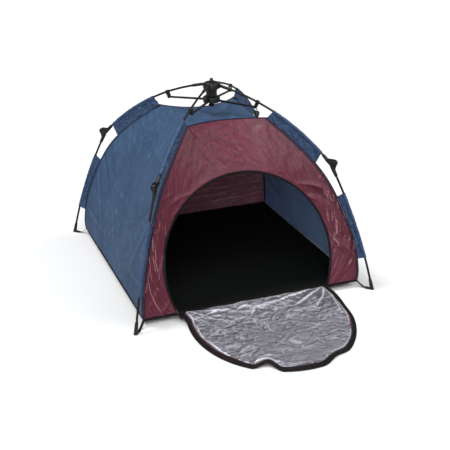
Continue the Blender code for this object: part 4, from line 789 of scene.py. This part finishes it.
def front_relief(x, y, u, v):
    """Creases that cross the strip where it is narrow, and run up from its lower corners."""
    across = crumple(x + 0.6 * y, y - 0.3 * x, 0.055, 0.060, 2.3)
    small = facet_net(x + 0.4 * y, y, 0.026, 0.030, 5)
    fine = facet_net(x, y - 0.5 * x, 0.012, 0.013, 17)
    corner = np.maximum(np.exp(-((u / 0.16) ** 2)), np.exp(-(((1 - u) / 0.16) ** 2)))
    slanted = crumple(x + y, y - 0.4 * x, 0.05, 0.12, 4.2)
    height = 0.0006 * across + 0.0015 * small + 0.0011 * fine + 0.0026 * corner * slanted
    lines = [(FRONT_SPAN * start, FRONT_SPAN * end, *size) for start, end, *size in FRONT_CREASES]
    single = folds(FRONT_SPAN[0] * u, FRONT_SPAN[1] * v, lines)
    return height * edge_window(u, v, (0.010, 0.12)) + single * edge_window(u, v, (0.006, 0.06))


front = cloth_sheet(
    "maroon_front", front_points(), maroon_taffeta, relief=front_relief, coating=maroon_coating
)
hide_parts("front_panel")

# %% [markdown]
# ## The floor
# The floor sheet lies on the ground and turns up at its edges, where the corner straps
# hold it. Inside it is dull and black, with a few low waves.

# %% Floor sheet
FLOOR_CELLS, FLOOR_FLAT_SHARE, FLOOR_INSET = 100, 0.70, 0.0022


def floor_point(across, depth):
    rise = max((max(abs(across), abs(depth)) - FLOOR_FLAT_SHARE) / (1 - FLOOR_FLAT_SHARE), 0.0)
    height = 0.0008 + (EDGE_LIFT - 0.0004) * rise
    return Vector((across * (FLOOR_X - FLOOR_INSET), depth * (FLOOR_Y - FLOOR_INSET), height))


def floor_relief(x, y, u, v):
    waves = 0.5 + 0.5 * crumple(x, y, 0.12, 0.16, 8.8, sharp=False)
    return 0.0022 * np.clip(waves, 0, 1.4) * edge_window(u, v, (0.05, 0.05))


floor_shares = [2 * i / FLOOR_CELLS - 1 for i in range(FLOOR_CELLS + 1)]
floor_grid = np.array([[floor_point(across, depth) for across in floor_shares] for depth in floor_shares])
floor_sheet = cloth_sheet("black_floor", floor_grid, floor_cloth, relief=floor_relief, inside=FAR_BELOW)
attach(floor_sheet, "tent")
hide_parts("floor_sheet")

# %% [markdown]
# ## Rods, bindings and stitches from one kind of path
# Rods, bindings and piping all follow a line, and stitches and zip teeth repeat along
# one. Geometry Nodes fits both: the line goes in as a chain of edges, and named inputs
# set the sizes, so a size can be tried again without touching the points.


# %% A line of points, and how a tree turns it to a mesh
def made_plain(made):
    """Keeps what an object's modifiers make as a plain mesh."""
    bpy.context.view_layer.update()
    result = bpy.data.meshes.new_from_object(made.evaluated_get(bpy.context.evaluated_depsgraph_get()))
    made.modifiers.clear()
    made.data = result
    return result


def new_tree(name, sizes):
    """A Geometry Nodes tree for a line and these named sizes. What follows the line stands upright."""
    tree = bpy.data.node_groups.new(name, "GeometryNodeTree")
    tree.interface.new_socket("Geometry", in_out="INPUT", socket_type="NodeSocketGeometry")
    for label, value in sizes.items():
        socket = tree.interface.new_socket(label, in_out="INPUT", socket_type="NodeSocketFloat")
        socket.default_value = value
    tree.interface.new_socket("Material", in_out="INPUT", socket_type="NodeSocketMaterial")
    tree.interface.new_socket("Geometry", in_out="OUTPUT", socket_type="NodeSocketGeometry")
    given, end = add_node(tree, "NodeGroupInput").outputs, add_node(tree, "NodeGroupOutput")
    line = add_node(tree, "GeometryNodeMeshToCurve", None, {"Mesh": given["Geometry"]})
    upright = add_node(tree, "GeometryNodeSetCurveNormal", {"mode": "Z_UP"}, {"Curve": line})
    return tree, given, end, upright


def close_tree(tree, given, end, geometry):
    real = add_node(tree, "GeometryNodeRealizeInstances", None, {"Geometry": geometry})
    painted = {"Geometry": real, "Material": given["Material"]}
    settle(end, None, {0: add_node(tree, "GeometryNodeSetMaterial", None, painted)})
    return tree


def grown(name, points, tree, material, sizes, closed=False):
    """Runs a tree on a line of points, and keeps the result in a colour slot of the part."""
    edges = [(i, i + 1) for i in range(len(points) - 1)] + ([(len(points) - 1, 0)] if closed else [])
    mesh = bpy.data.meshes.new(name)
    mesh.from_pydata([tuple(p) for p in points], edges, [])
    made = shown(name, mesh)
    modifier = made.modifiers.new("grow", "NODES")
    modifier.node_group = tree
    names = {item.name: item.identifier for item in tree.interface.items_tree if item.in_out == "INPUT"}
    modifier[names["Material"]] = material
    for label, value in sizes.items():
        modifier[names[label]] = value
    made_plain(made).name = name
    return made


# %% Tree: a rod or binding swept along a path
def sweep_tree():
    """An oval section, wide across the path's upright plane and thick in it."""
    sizes = {"Width": 0.006, "Thickness": 0.003, "Sides": 16.0}
    tree, given, end, upright = new_tree("swept_section", sizes)
    sides = {"Resolution": given["Sides"]}
    circle = add_node(tree, "GeometryNodeCurvePrimitiveCircle", {"Radius": 0.5}, sides)
    size = add_node(tree, "ShaderNodeCombineXYZ", {"Z": 1.0}, {"X": given["Width"], "Y": given["Thickness"]})
    section = add_node(tree, "GeometryNodeTransform", None, {"Geometry": circle, "Scale": size})
    along = {"Curve": upright, "Profile Curve": section}
    solid = add_node(tree, "GeometryNodeCurveToMesh", {"Fill Caps": True}, along)
    smooth = add_node(tree, "GeometryNodeSetShadeSmooth", {"Shade Smooth": True}, {"Geometry": solid})
    return close_tree(tree, given, end, smooth)


swept_section = sweep_tree()


def swept(name, points, material, width, thickness, sides=10.0, closed=False):
    sizes = {"Width": width, "Thickness": thickness, "Sides": sides}
    return grown(name, points, swept_section, material, sizes, closed)


# %% Tree: one small shape repeated along a path
def repeat_tree(name, sizes, shape):
    """Instances of shape(tree, given), whose Z axis follows the path."""
    tree, given, end, upright = new_tree(name, {"Spacing": 0.005, **sizes})
    steps = {"Curve": upright, "Length": given["Spacing"]}
    spots = add_node(tree, "GeometryNodeCurveToPoints", {"mode": "LENGTH"}, steps)
    placed = {"Points": spots, "Instance": shape(tree, given), "Rotation": spots.outputs["Rotation"]}
    return close_tree(tree, given, end, add_node(tree, "GeometryNodeInstanceOnPoints", None, placed))


def stitch_shape(tree, given):
    """A short thread: six sides, lying along the path."""
    sizes = {"Radius": given["Thread"], "Depth": given["Stitch"]}
    return add_node(tree, "GeometryNodeMeshCylinder", {"Vertices": 6}, sizes)


def tooth_shape(tree, given):
    """One coil of the zip: a block across the tape."""
    sides = {"X": given["Across"], "Y": given["Height"], "Z": given["Along"]}
    size = add_node(tree, "ShaderNodeCombineXYZ", None, sides)
    return add_node(tree, "GeometryNodeMeshCube", None, {"Size": size})


stitch_row = repeat_tree("stitch_row", {"Thread": 0.00035, "Stitch": 0.0032}, stitch_shape)
zip_teeth = repeat_tree("zip_teeth", {"Across": 0.003, "Height": 0.0013, "Along": 0.0014}, tooth_shape)


def stitched(name, points):
    return grown(name, points, stitch_row, thread, {"Spacing": 0.0048})


def toothed(name, points):
    return grown(name, points, zip_teeth, nylon, {"Spacing": 0.0026})


print("trees", swept_section.name, stitch_row.name, zip_teeth.name)

# %% [markdown]
# ## Poles
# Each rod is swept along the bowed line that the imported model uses, with more sides, so
# its highlight runs clean from end to end.

# %% Poles
ROD_ENDS = {
    "upper": (0.0145, UPPER_LENGTH - 0.0130),
    "lower": (UPPER_LENGTH + 0.0130, UPPER_LENGTH + LOWER_LENGTH - 0.0125),
}
ROD_STEPS, ROD_SIDES, ROD_WIDTH = 48, 16.0, 2 * POLE_RADIUS
for corner in CORNERS:
    for half, (low, high) in ROD_ENDS.items():
        line = [pole_at(low + (high - low) * i / ROD_STEPS)[0] for i in range(ROD_STEPS + 1)]
        centres = [in_corner(corner, p.x, p.y) for p in line]
        rod = swept(f"{corner}_{half}_rod", centres, glass_rod, ROD_WIDTH, ROD_WIDTH, ROD_SIDES)
        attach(rod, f"{corner}_{half}")
        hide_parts(f"{corner}_{half}_pole")
print("eight rods")

# %% [markdown]
# ## Moulded fittings
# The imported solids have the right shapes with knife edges. A real moulding has a small
# radius on every edge, and that radius is what catches the light. So each fitting is a
# merged copy with a narrow bevel.


# %% Fittings with rounded edges
def rounded_copy(node_name, body, material, radius=0.0004):
    """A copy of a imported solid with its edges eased."""
    bm = bmesh.new()
    bm.from_mesh(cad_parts[node_name].data)
    bmesh.ops.remove_doubles(bm, verts=bm.verts, dist=1e-6)
    bmesh.ops.dissolve_limit(bm, angle_limit=math.radians(1.5), verts=bm.verts, edges=bm.edges)
    mesh = bpy.data.meshes.new(f"{node_name}_moulding")
    bm.to_mesh(mesh)
    bm.free()
    mesh.materials.clear()
    mesh.materials.append(material)
    made = shown(f"{node_name}_moulding", mesh)
    bevel = made.modifiers.new("eased_edges", "BEVEL")
    bevel.width, bevel.segments = radius, 2
    bevel.limit_method, bevel.angle_limit = "ANGLE", math.radians(32.0)
    result = made_plain(made)
    result.shade_smooth()
    result.set_sharp_from_angle(angle=math.radians(38.0))
    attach(made, body)
    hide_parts(node_name)


CORNER_FITTINGS = {
    "root_ferrule": "upper", "strut_clip": "upper", "elbow_upper": "upper",
    "strut": "strut", "elbow_lower": "lower", "foot": "lower",
}
HUB_FITTINGS = {"hub_crown": "tent", "hub_cap": "tent", "runner": "runner", "runner_knob": "runner"}
for corner in CORNERS:
    for part, body in CORNER_FITTINGS.items():
        rounded_copy(f"{corner}_{part}", f"{corner}_{body}", nylon)
for part, body in HUB_FITTINGS.items():
    rounded_copy(part, body, nylon, 0.0005)
for part in ("zip_slider", "zip_pull"):
    rounded_copy(part, "zip", enamel, 0.0002)
print("fittings eased")

# %% [markdown]
# ## Sleeves
# A sleeve is a strip of cloth folded round the pole and sewn to itself on its way to the
# seam. It is built as one sheet: in from the seam on one side, round the rod, and back.
# Slanting wrinkles cross it, because the strip is cut longer than the pole's stretch.

# %% Sleeves
# Where each sleeve starts and ends: distances down the pole, then shares of the corner seam
SLEEVES = {
    "upper": ((0.195, 0.392), (0.0, 3.5 / 12)),
    "lower": ((0.535, 0.752), (6.0 / 12, 9.5 / 12)),
}
SLEEVE_STEPS, TUNNEL_STEPS, WEB_STEPS = 110, 14, 14
TUNNEL_RADIUS, TUNNEL_REACH = POLE_RADIUS + 0.0012, 145


def soft_noise(a, b, seed):
    """Soft noise at one place, from about -1 to 1."""
    return noise.fractal(Vector((a, b, seed)), 1.0, 2.0, 2)


def sleeve_wave(along, across, t, seed):
    """How far the strip waves to one side. t is 0 at the seam and 1 at the pole, and both hold it."""
    slant = soft_noise((along + 0.9 * across) / 0.030, across / 0.060, seed)
    cross = soft_noise(along / 0.012, across / 0.030, seed + 5.0)
    return (0.0046 * slant + 0.0014 * cross) * math.sin(math.pi * min(max(t, 0.0), 1.0)) ** 0.6


def sleeve_points(corner, pole_span, seam_span, seed):
    rows = []
    length = pole_span[1] - pole_span[0]
    for i in range(SLEEVE_STEPS + 1):
        share = i / SLEEVE_STEPS
        point, tangent = pole_at(pole_span[0] + length * share)
        seam = seam_at(seam_span[0] + (seam_span[1] - seam_span[0]) * share)
        web, side = (seam - point).normalized(), outward(tangent)
        gather = 1 + 0.16 * noise.noise(Vector((share * 26, seed, 0.0)))
        start, end = point + web * TUNNEL_RADIUS * 1.7, seam - web * 0.0004
        reach = (end - start).length

        def strip(t, layer):
            """A point of the strip's left layer, -1, or right layer, 1."""
            spot = end.lerp(start, t)
            wave = sleeve_wave(share * length, t * reach, t, seed)
            return in_corner(corner, spot.x, spot.y, layer * (0.0006 + 0.0004 * t) + wave)

        def tunnel(k):
            turn = math.radians(2 * TUNNEL_REACH * k / TUNNEL_STEPS - TUNNEL_REACH)
            spot = point + side * (math.cos(turn) * TUNNEL_RADIUS * gather)
            return in_corner(corner, spot.x, spot.y, math.sin(turn) * TUNNEL_RADIUS * gather)

        going = [strip(k / WEB_STEPS, -1) for k in range(WEB_STEPS)]
        coming = [strip(1 - (k + 1) / WEB_STEPS, 1) for k in range(WEB_STEPS)]
        rows.append(going + [tunnel(k) for k in range(TUNNEL_STEPS + 1)] + coming)
    return np.array(rows)


def sleeve_relief(x, y, u, v):
    """Short slanted creases, where the strip is gathered on its pole."""
    slanted = facet_net(x + 0.7 * y, y, 0.022, 0.011, 13)
    fine = facet_net(x, y, 0.009, 0.008, 29)
    web = 1 - 0.85 * np.exp(-(((u - 0.5) / 0.17) ** 2))
    return (0.0018 * slanted + 0.0006 * fine) * web * edge_window(u, v, (0.10, 0.03))


for number, corner in enumerate(CORNERS):
    for half, (pole_span, seam_span) in SLEEVES.items():
        seed = 3.7 * number + (1.9 if half == "lower" else 0.0)
        middle, tangent = pole_at(sum(pole_span) / 2)
        core = in_corner(corner, middle.x, middle.y)
        sleeve = cloth_sheet(
            f"{corner}_{half}_sleeve_cloth",
            sleeve_points(corner, pole_span, seam_span, seed),
            sleeve_taffeta,
            thickness=0.0004,
            relief=sleeve_relief,
            inside=np.array(core),
        )
        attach(sleeve, f"{corner}_{half}")
        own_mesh(sleeve)
        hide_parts(f"{corner}_{half}_sleeve")

# %% [markdown]
# ## Seams
# Where panels meet, the raw edges are folded into a dark binding tape. It is a flattened
# tube along the seam, with a row of stitches on each side and a wider tape inside. The
# floor's own hem closes the joint between the floor and the walls.

# %% Corner and roof bindings
SEAM_STEPS, ROOF_SEAM_STEPS = 60, 48


def seam_line(corner, inward, down, side=0.0):
    """The corner seam, moved toward the tent's middle, down and sideways."""
    seam = [seam_at(i / SEAM_STEPS) for i in range(SEAM_STEPS + 1)]
    return [in_corner(corner, p.x - inward, p.y - down, side) for p in seam]


for corner in CORNERS:
    heap(swept(f"{corner}_seam_binding", seam_line(corner, -0.0002, 0.0), seam_tape, 0.0036, 0.0024))
    heap(swept(f"{corner}_inner_binding", seam_line(corner, 0.0045, 0.0010), seam_tape, 0.0110, 0.0016))
    for side, letter in ((-1, "a"), (1, "b")):
        heap(stitched(f"{corner}_seam_stitches_{letter}", seam_line(corner, 0.0012, 0.0004, side * 0.0042)))
for sign, label, tape_material in ((-1, "front", seam_tape), (1, "back", wine_tape)):
    roof_edge = [roof(2 * i / ROOF_SEAM_STEPS - 1, sign) for i in range(ROOF_SEAM_STEPS + 1)]
    heap(swept(f"roof_{label}_binding", roof_edge, tape_material, 0.0040, 0.0030))

# %% Inside hem: the coated side of each wall turns in along the floor
HEM_TURN_SHARE, HEM_ROWS, HEM_CELLS = 0.040, 6, 90


def hem_point(sign, row, cell):
    """A point of the turned-in hem, which is widest a little in front of the middle."""
    depth = -0.97 + 1.94 * cell / HEM_CELLS
    wider = 1.1 * math.exp(-(((depth + 0.28) / 0.30) ** 2))
    wavy = 0.5 + wider + 0.3 * noise.noise(Vector((depth * 3.1, sign, 0.4)))
    spot = side_wall(sign, 0.006 + HEM_TURN_SHARE * wavy * row / HEM_ROWS, depth)
    return spot - Vector((sign * (0.0020 + 0.0035 * row / HEM_ROWS), 0.0, 0.0))


for sign, label in ((-1, "left"), (1, "right")):
    rows = [[hem_point(sign, k, i) for i in range(HEM_CELLS + 1)] for k in range(HEM_ROWS + 1)]
    beyond_wall = np.array((sign * 2.0, 0.0, 0.1))
    # Its pale grey is painted light, brighter than the walls' coated side, for the light the turned-in fold
    # catches.
    turned = cloth_sheet(f"{label}_inside_hem", np.array(rows), painted_lit_hem_coating, inside=beyond_wall)
    heap(turned)

# %% Floor hem
HEM_STEPS = 30
hem_x, hem_y, hem_z = FLOOR_X - 0.0010, FLOOR_Y - 0.0010, EDGE_LIFT + 0.0012
turns = [Vector((x * hem_x, y * hem_y, hem_z)) for x, y in ((-1, -1), (1, -1), (1, 1), (-1, 1))]
hem_line = [a.lerp(b, i / HEM_STEPS) for a, b in zip(turns, turns[1:] + turns[:1]) for i in range(HEM_STEPS)]
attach(swept("floor_hem", hem_line, black_tape, 0.0040, 0.0090, 12.0, closed=True), "tent")
print("bindings sewn")

# %% [markdown]
# ## The zip
# A coil zip: a woven tape with a row of teeth on its inner edge, and a piped edge where
# it is sewn to the front. Real teeth are 1.3 mm apart. They are drawn at 2.6 mm, which
# still reads as a zip and not as a stripe.

# %% Zip tape, piping and teeth
ARCH_STEPS, TAPE_ROWS, FOOT_TRIM = 150, 8, 0.02


def arch_path(radius, out, trim=FOOT_TRIM):
    """A line round the arch, with its two ends shortened by an angle."""
    foot = ARCH_FOOT + trim
    shares = [i / ARCH_STEPS for i in range(ARCH_STEPS + 1)]
    return [door_point(radius, foot + (math.pi - 2 * foot) * s, out) for s in shares]


tape_rows = [arch_path(DOOR_RADIUS + TAPE_WIDTH * k / TAPE_ROWS, 0.0006) for k in range(TAPE_ROWS + 1)]
tape = cloth_sheet(
    "zip_tape_cloth", np.array(tape_rows), black_tape, thickness=0.0012, inside=np.array((0.0, 0.3, 0.1))
)
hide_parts("door_zip_tape")
heap(swept("arch_piping", arch_path(PANEL_ARCH_RADIUS, 0.0004, 0.004), black_tape, 0.0018, 0.0018))
heap(toothed("arch_zip_teeth", arch_path(DOOR_RADIUS + 0.0004, 0.0007)))
heap(stitched("arch_stitches", arch_path(DOOR_RADIUS + TAPE_WIDTH * 0.78, 0.0008)))
print("zip sewn round the arch")

# %% [markdown]
# ## The door flap
# The flap has been dropped open and lies as it fell: its edge buckles where the stiff zip
# is longer than the ground it lies on, and the lining crumples between. The outline is
# the arch's own circle, drawn in a little, with a few dips where the edge has buckled up.

# %% Flap shape
FLAP_HINGE = Vector((0.0, FLOOR_INSET - FLOOR_Y - 0.0003, EDGE_LIFT))
FLAP_EDGE_RADIUS, BINDING_WIDTH, RIM_HEIGHT = DOOR_RADIUS - 0.0015, 0.014, 0.0055
FLAP_TUCK_SHARE, FLAP_TUCK_REACH_RIGHT, FLAP_TUCK_REACH_LEFT = 0.08, 0.130, 0.045
FLAP_SHIFT, FLAP_DROP_LENGTH, GROUND_GAP = 0.007, 0.075, 0.0006
FLAP_SLACK, FLAP_RIPPLE, FLAP_RIPPLE_PITCH = 0.009, 0.0055, 0.105
# Each buckle: middle and half width in degrees, then how far in and up it goes, as shares of the radius
FLAP_BUCKLES = (
    (119.0, 10.0, 0.089, 0.034), (70.0, 14.0, 0.050, 0.008),
    (32.0, 54.0, 0.053, 0.0), (188.0, 68.0, 0.055, 0.0),
)


def eased(share):
    share = min(max(share, 0.0), 1.0)
    return share * share * (3 - 2 * share)


def buckle(radius, angle):
    """How far the edge's buckles draw a place in, less the cloth's slack, and how high they lift it."""
    near_edge = (radius / FLAP_EDGE_RADIUS) ** 3
    turn = math.degrees(angle) % 360.0
    drawn, lifted = -FLAP_SLACK * near_edge, 0.0
    for middle, half_width, depth, height in FLAP_BUCKLES:
        away = abs((turn - middle + 180.0) % 360.0 - 180.0) / half_width
        share = near_edge * (1 - eased(away)) * FLAP_EDGE_RADIUS
        drawn += share * depth
        lifted += share * height
    return drawn, lifted


def flap_height(x, run, inner):
    """The underside's height at a place and a distance from the hinge. inner is 0 at the round edge."""
    ease = min(run / FLAP_DROP_LENGTH, 1.0)
    slope = (EDGE_LIFT - GROUND_GAP - 0.001) * (1 - eased(ease))
    wave = 0.5 + 0.5 * math.sin(2 * math.pi * (x + 0.35 * run) / FLAP_RIPPLE_PITCH)
    swell = 0.5 + 0.5 * math.sin(2 * math.pi * (run - 0.4 * x) / (FLAP_RIPPLE_PITCH * 1.7))
    return GROUND_GAP + slope + FLAP_RIPPLE * ease * wave * swell * inner


def flap_point(radius, angle, lift=0.0):
    """A point of the open flap, by radius and angle about its round edge's centre."""
    drawn, lifted = buckle(radius, angle)
    run = max(DOOR_CENTRE_RISE + math.sin(angle) * radius, 0.0)
    settled = eased(run / FLAP_DROP_LENGTH)
    across = math.cos(angle) * (radius - drawn * settled)
    run -= math.sin(angle) * drawn * settled
    reach = FLAP_TUCK_REACH_RIGHT if across > 0 else FLAP_TUCK_REACH_LEFT
    x = FLAP_SHIFT * run / DOOR_RADIUS + across * (1 - FLAP_TUCK_SHARE * eased(run / reach))
    inner = 1 - min(radius / FLAP_EDGE_RADIUS, 1.0) ** 6
    return Vector((x, FLAP_HINGE.y - run, flap_height(x, run, inner) + lifted * settled + lift))


def rim(angle):
    """How high the cloth stands where it meets the edge tape, which leans out from there to the ground."""
    far = eased((DOOR_CENTRE_RISE + math.sin(angle) * FLAP_EDGE_RADIUS) / (1.5 * DOOR_CENTRE_RISE))
    uneven = 0.85 + 0.4 * noise.noise(Vector((angle * 4.0, 0.0, 1.7)))
    return RIM_HEIGHT * (0.15 + 0.85 * far) * uneven


# %% Flap cloth
FLAP_CELLS, FLAP_ROWS = 260, 180
UNDER_FLAP = np.array((0.0, -0.5, -5.0))


def flap_points(edge_radius):
    """Rows from the hinge outward: each is a chord of the round outline."""
    rows = []
    for j in range(FLAP_ROWS + 1):
        reach = edge_radius * 0.9995 + DOOR_CENTRE_RISE
        height = -DOOR_CENTRE_RISE + reach * math.sin(math.pi / 2 * j / FLAP_ROWS)
        half = math.sqrt(max(edge_radius**2 - height**2, 1e-8))
        row = []
        for i in range(FLAP_CELLS + 1):
            x = half * (2 * i / FLAP_CELLS - 1)
            radius, angle = math.hypot(x, height), math.atan2(height, x)
            row.append(flap_point(radius, angle, 0.001 + rim(angle) * (radius / edge_radius) ** 5))
        rows.append(row)
    return np.array(rows)


# Folds that fan out from where the hinge ends pull: x across from the middle, y out from the hinge
FLAP_FANS = (
    ((0.225, 0.010), (0.150, 0.110), 0.010, 0.0090),
    ((0.228, 0.006), (0.080, 0.070), 0.008, 0.0070),
    ((0.232, 0.020), (0.205, 0.170), 0.008, 0.0060),
    ((0.230, 0.004), (-0.020, 0.040), 0.007, 0.0045),
    ((-0.225, 0.008), (-0.060, 0.130), 0.008, 0.0020),
    ((-0.222, 0.014), (-0.120, 0.200), 0.008, 0.0016),
    ((-0.215, 0.004), (-0.020, 0.060), 0.009, 0.0018),
)


def flap_relief(x, y, u, v):
    """Sharp creases like crushed foil, most of them slanting, over a few broad swells."""
    slant_x, slant_y = 0.82 * x - 0.57 * y, 0.57 * x + 0.82 * y
    broad = crumple(x, y, 0.10, 0.13, 6.5, sharp=False)
    large = facet_net(slant_x, slant_y, 0.070, 0.032, 3)
    middle = facet_net(slant_x, slant_y, 0.034, 0.016, 11)
    small = facet_net(x, y, 0.014, 0.010, 23)
    height = 0.0030 * np.clip(broad + 0.5, 0, 2) + 0.0042 * large + 0.0026 * middle + 0.0010 * small
    height += 0.0050 + folds(x, y, FLAP_FANS)
    return np.clip(height, 0.0, None) * edge_window(u, v, (0.018, 0.018))


flap = cloth_sheet(
    "silver_flap",
    flap_points(FLAP_EDGE_RADIUS - BINDING_WIDTH + 0.001),
    silver_lining,
    thickness=0.0008,
    relief=flap_relief,
    inside=UNDER_FLAP,
    coating=maroon_taffeta,
)
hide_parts("door_flap")

# %% Flap binding, facing and teeth
EDGE_STEPS, BINDING_ROWS = 200, 10


def flap_edge(share, lift):
    """A line round the flap: share 0 is the edge tape's inner side, 1 its outer side, near the ground."""
    radius = FLAP_EDGE_RADIUS - BINDING_WIDTH * (1 - share)
    foot = -math.asin(DOOR_CENTRE_RISE / radius)
    angles = [foot + (math.pi - 2 * foot) * i / EDGE_STEPS for i in range(EDGE_STEPS + 1)]
    return [flap_point(radius, angle, lift + rim(angle) * (1 - max(share, 0.0) ** 1.4)) for angle in angles]


binding_rows = [
    flap_edge(k / BINDING_ROWS, 0.0012 + 0.0010 * math.sin(math.pi * k / BINDING_ROWS))
    for k in range(BINDING_ROWS + 1)
]
flap_binding = cloth_sheet(
    "flap_edge_tape", np.array(binding_rows), black_tape, thickness=0.0014, inside=UNDER_FLAP
)
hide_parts("flap_binding")
facing = swept("flap_facing", flap_edge(-0.16, 0.0022), wine_tape, 0.0050, 0.0014, 8.0)
flap_teeth = toothed("flap_zip_teeth", flap_edge(0.95, 0.0020))
flap_stitches = stitched("flap_stitches", flap_edge(0.18, 0.0021))
for piece in (flap, flap_binding, facing, flap_teeth, flap_stitches):
    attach(piece, "door")
    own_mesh(piece)
print("flap bound")

# %% [markdown]
# ## Straps and small trim
# A strap of webbing runs from each floor corner to the ringed toe of the foot, and a loop
# ties the roof near the front right clip.

# %% Corner straps
STRAP_STEPS, STRAP_SAG = 24, 0.0015
strap_start = SEAM[-1] + Vector((0.0006, 0.0))
strap_end = Vector((FOOT.x - 0.018 - 0.006 - 0.0003, 0.0020))
strap_width = np.linspace(-0.004, 0.004, 9)
for corner in CORNERS:
    rows = []
    for i in range(STRAP_STEPS + 1):
        share = i / STRAP_STEPS
        point = strap_start.lerp(strap_end, share) - Vector((0.0, STRAP_SAG * math.sin(math.pi * share)))
        rows.append([in_corner(corner, point.x, point.y + 0.0005, t) for t in strap_width])
    strap = cloth_sheet(
        f"{corner}_strap_webbing", np.array(rows), black_tape, thickness=0.001, inside=FAR_BELOW
    )
    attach(strap, f"{corner}_lower")
    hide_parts(f"{corner}_corner_strap")

# %% Roof tie
TIE_STEPS, TIE_HALF_WIDTH = 40, 0.0034
tie_low, tie_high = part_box("roof_tie")
tie_spot = Vector([(a + b) / 2 for a, b in zip(tie_low, tie_high)])
tie_reach = (tie_high[2] - tie_low[2]) / 2
loop = []
for i in range(TIE_STEPS):
    turn = 2 * math.pi * i / TIE_STEPS
    aside, up, sway = TIE_HALF_WIDTH * math.sin(turn), -tie_reach * math.cos(turn), 0.001 * math.sin(2 * turn)
    loop.append(tie_spot + in_corner("front_right", aside, up, sway))
tie = swept("roof_tie_loop", loop, black_tape, 0.0022, 0.0022, 8.0, closed=True)
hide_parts("roof_tie")
heap(tie)

# %% [markdown]
# ## Which piece moves with what
# The cloth body's pieces are seated on the tent's body.

# %% Seat the body's cloth on its body
for piece in (canopy, back, front, tape):
    heap(piece)
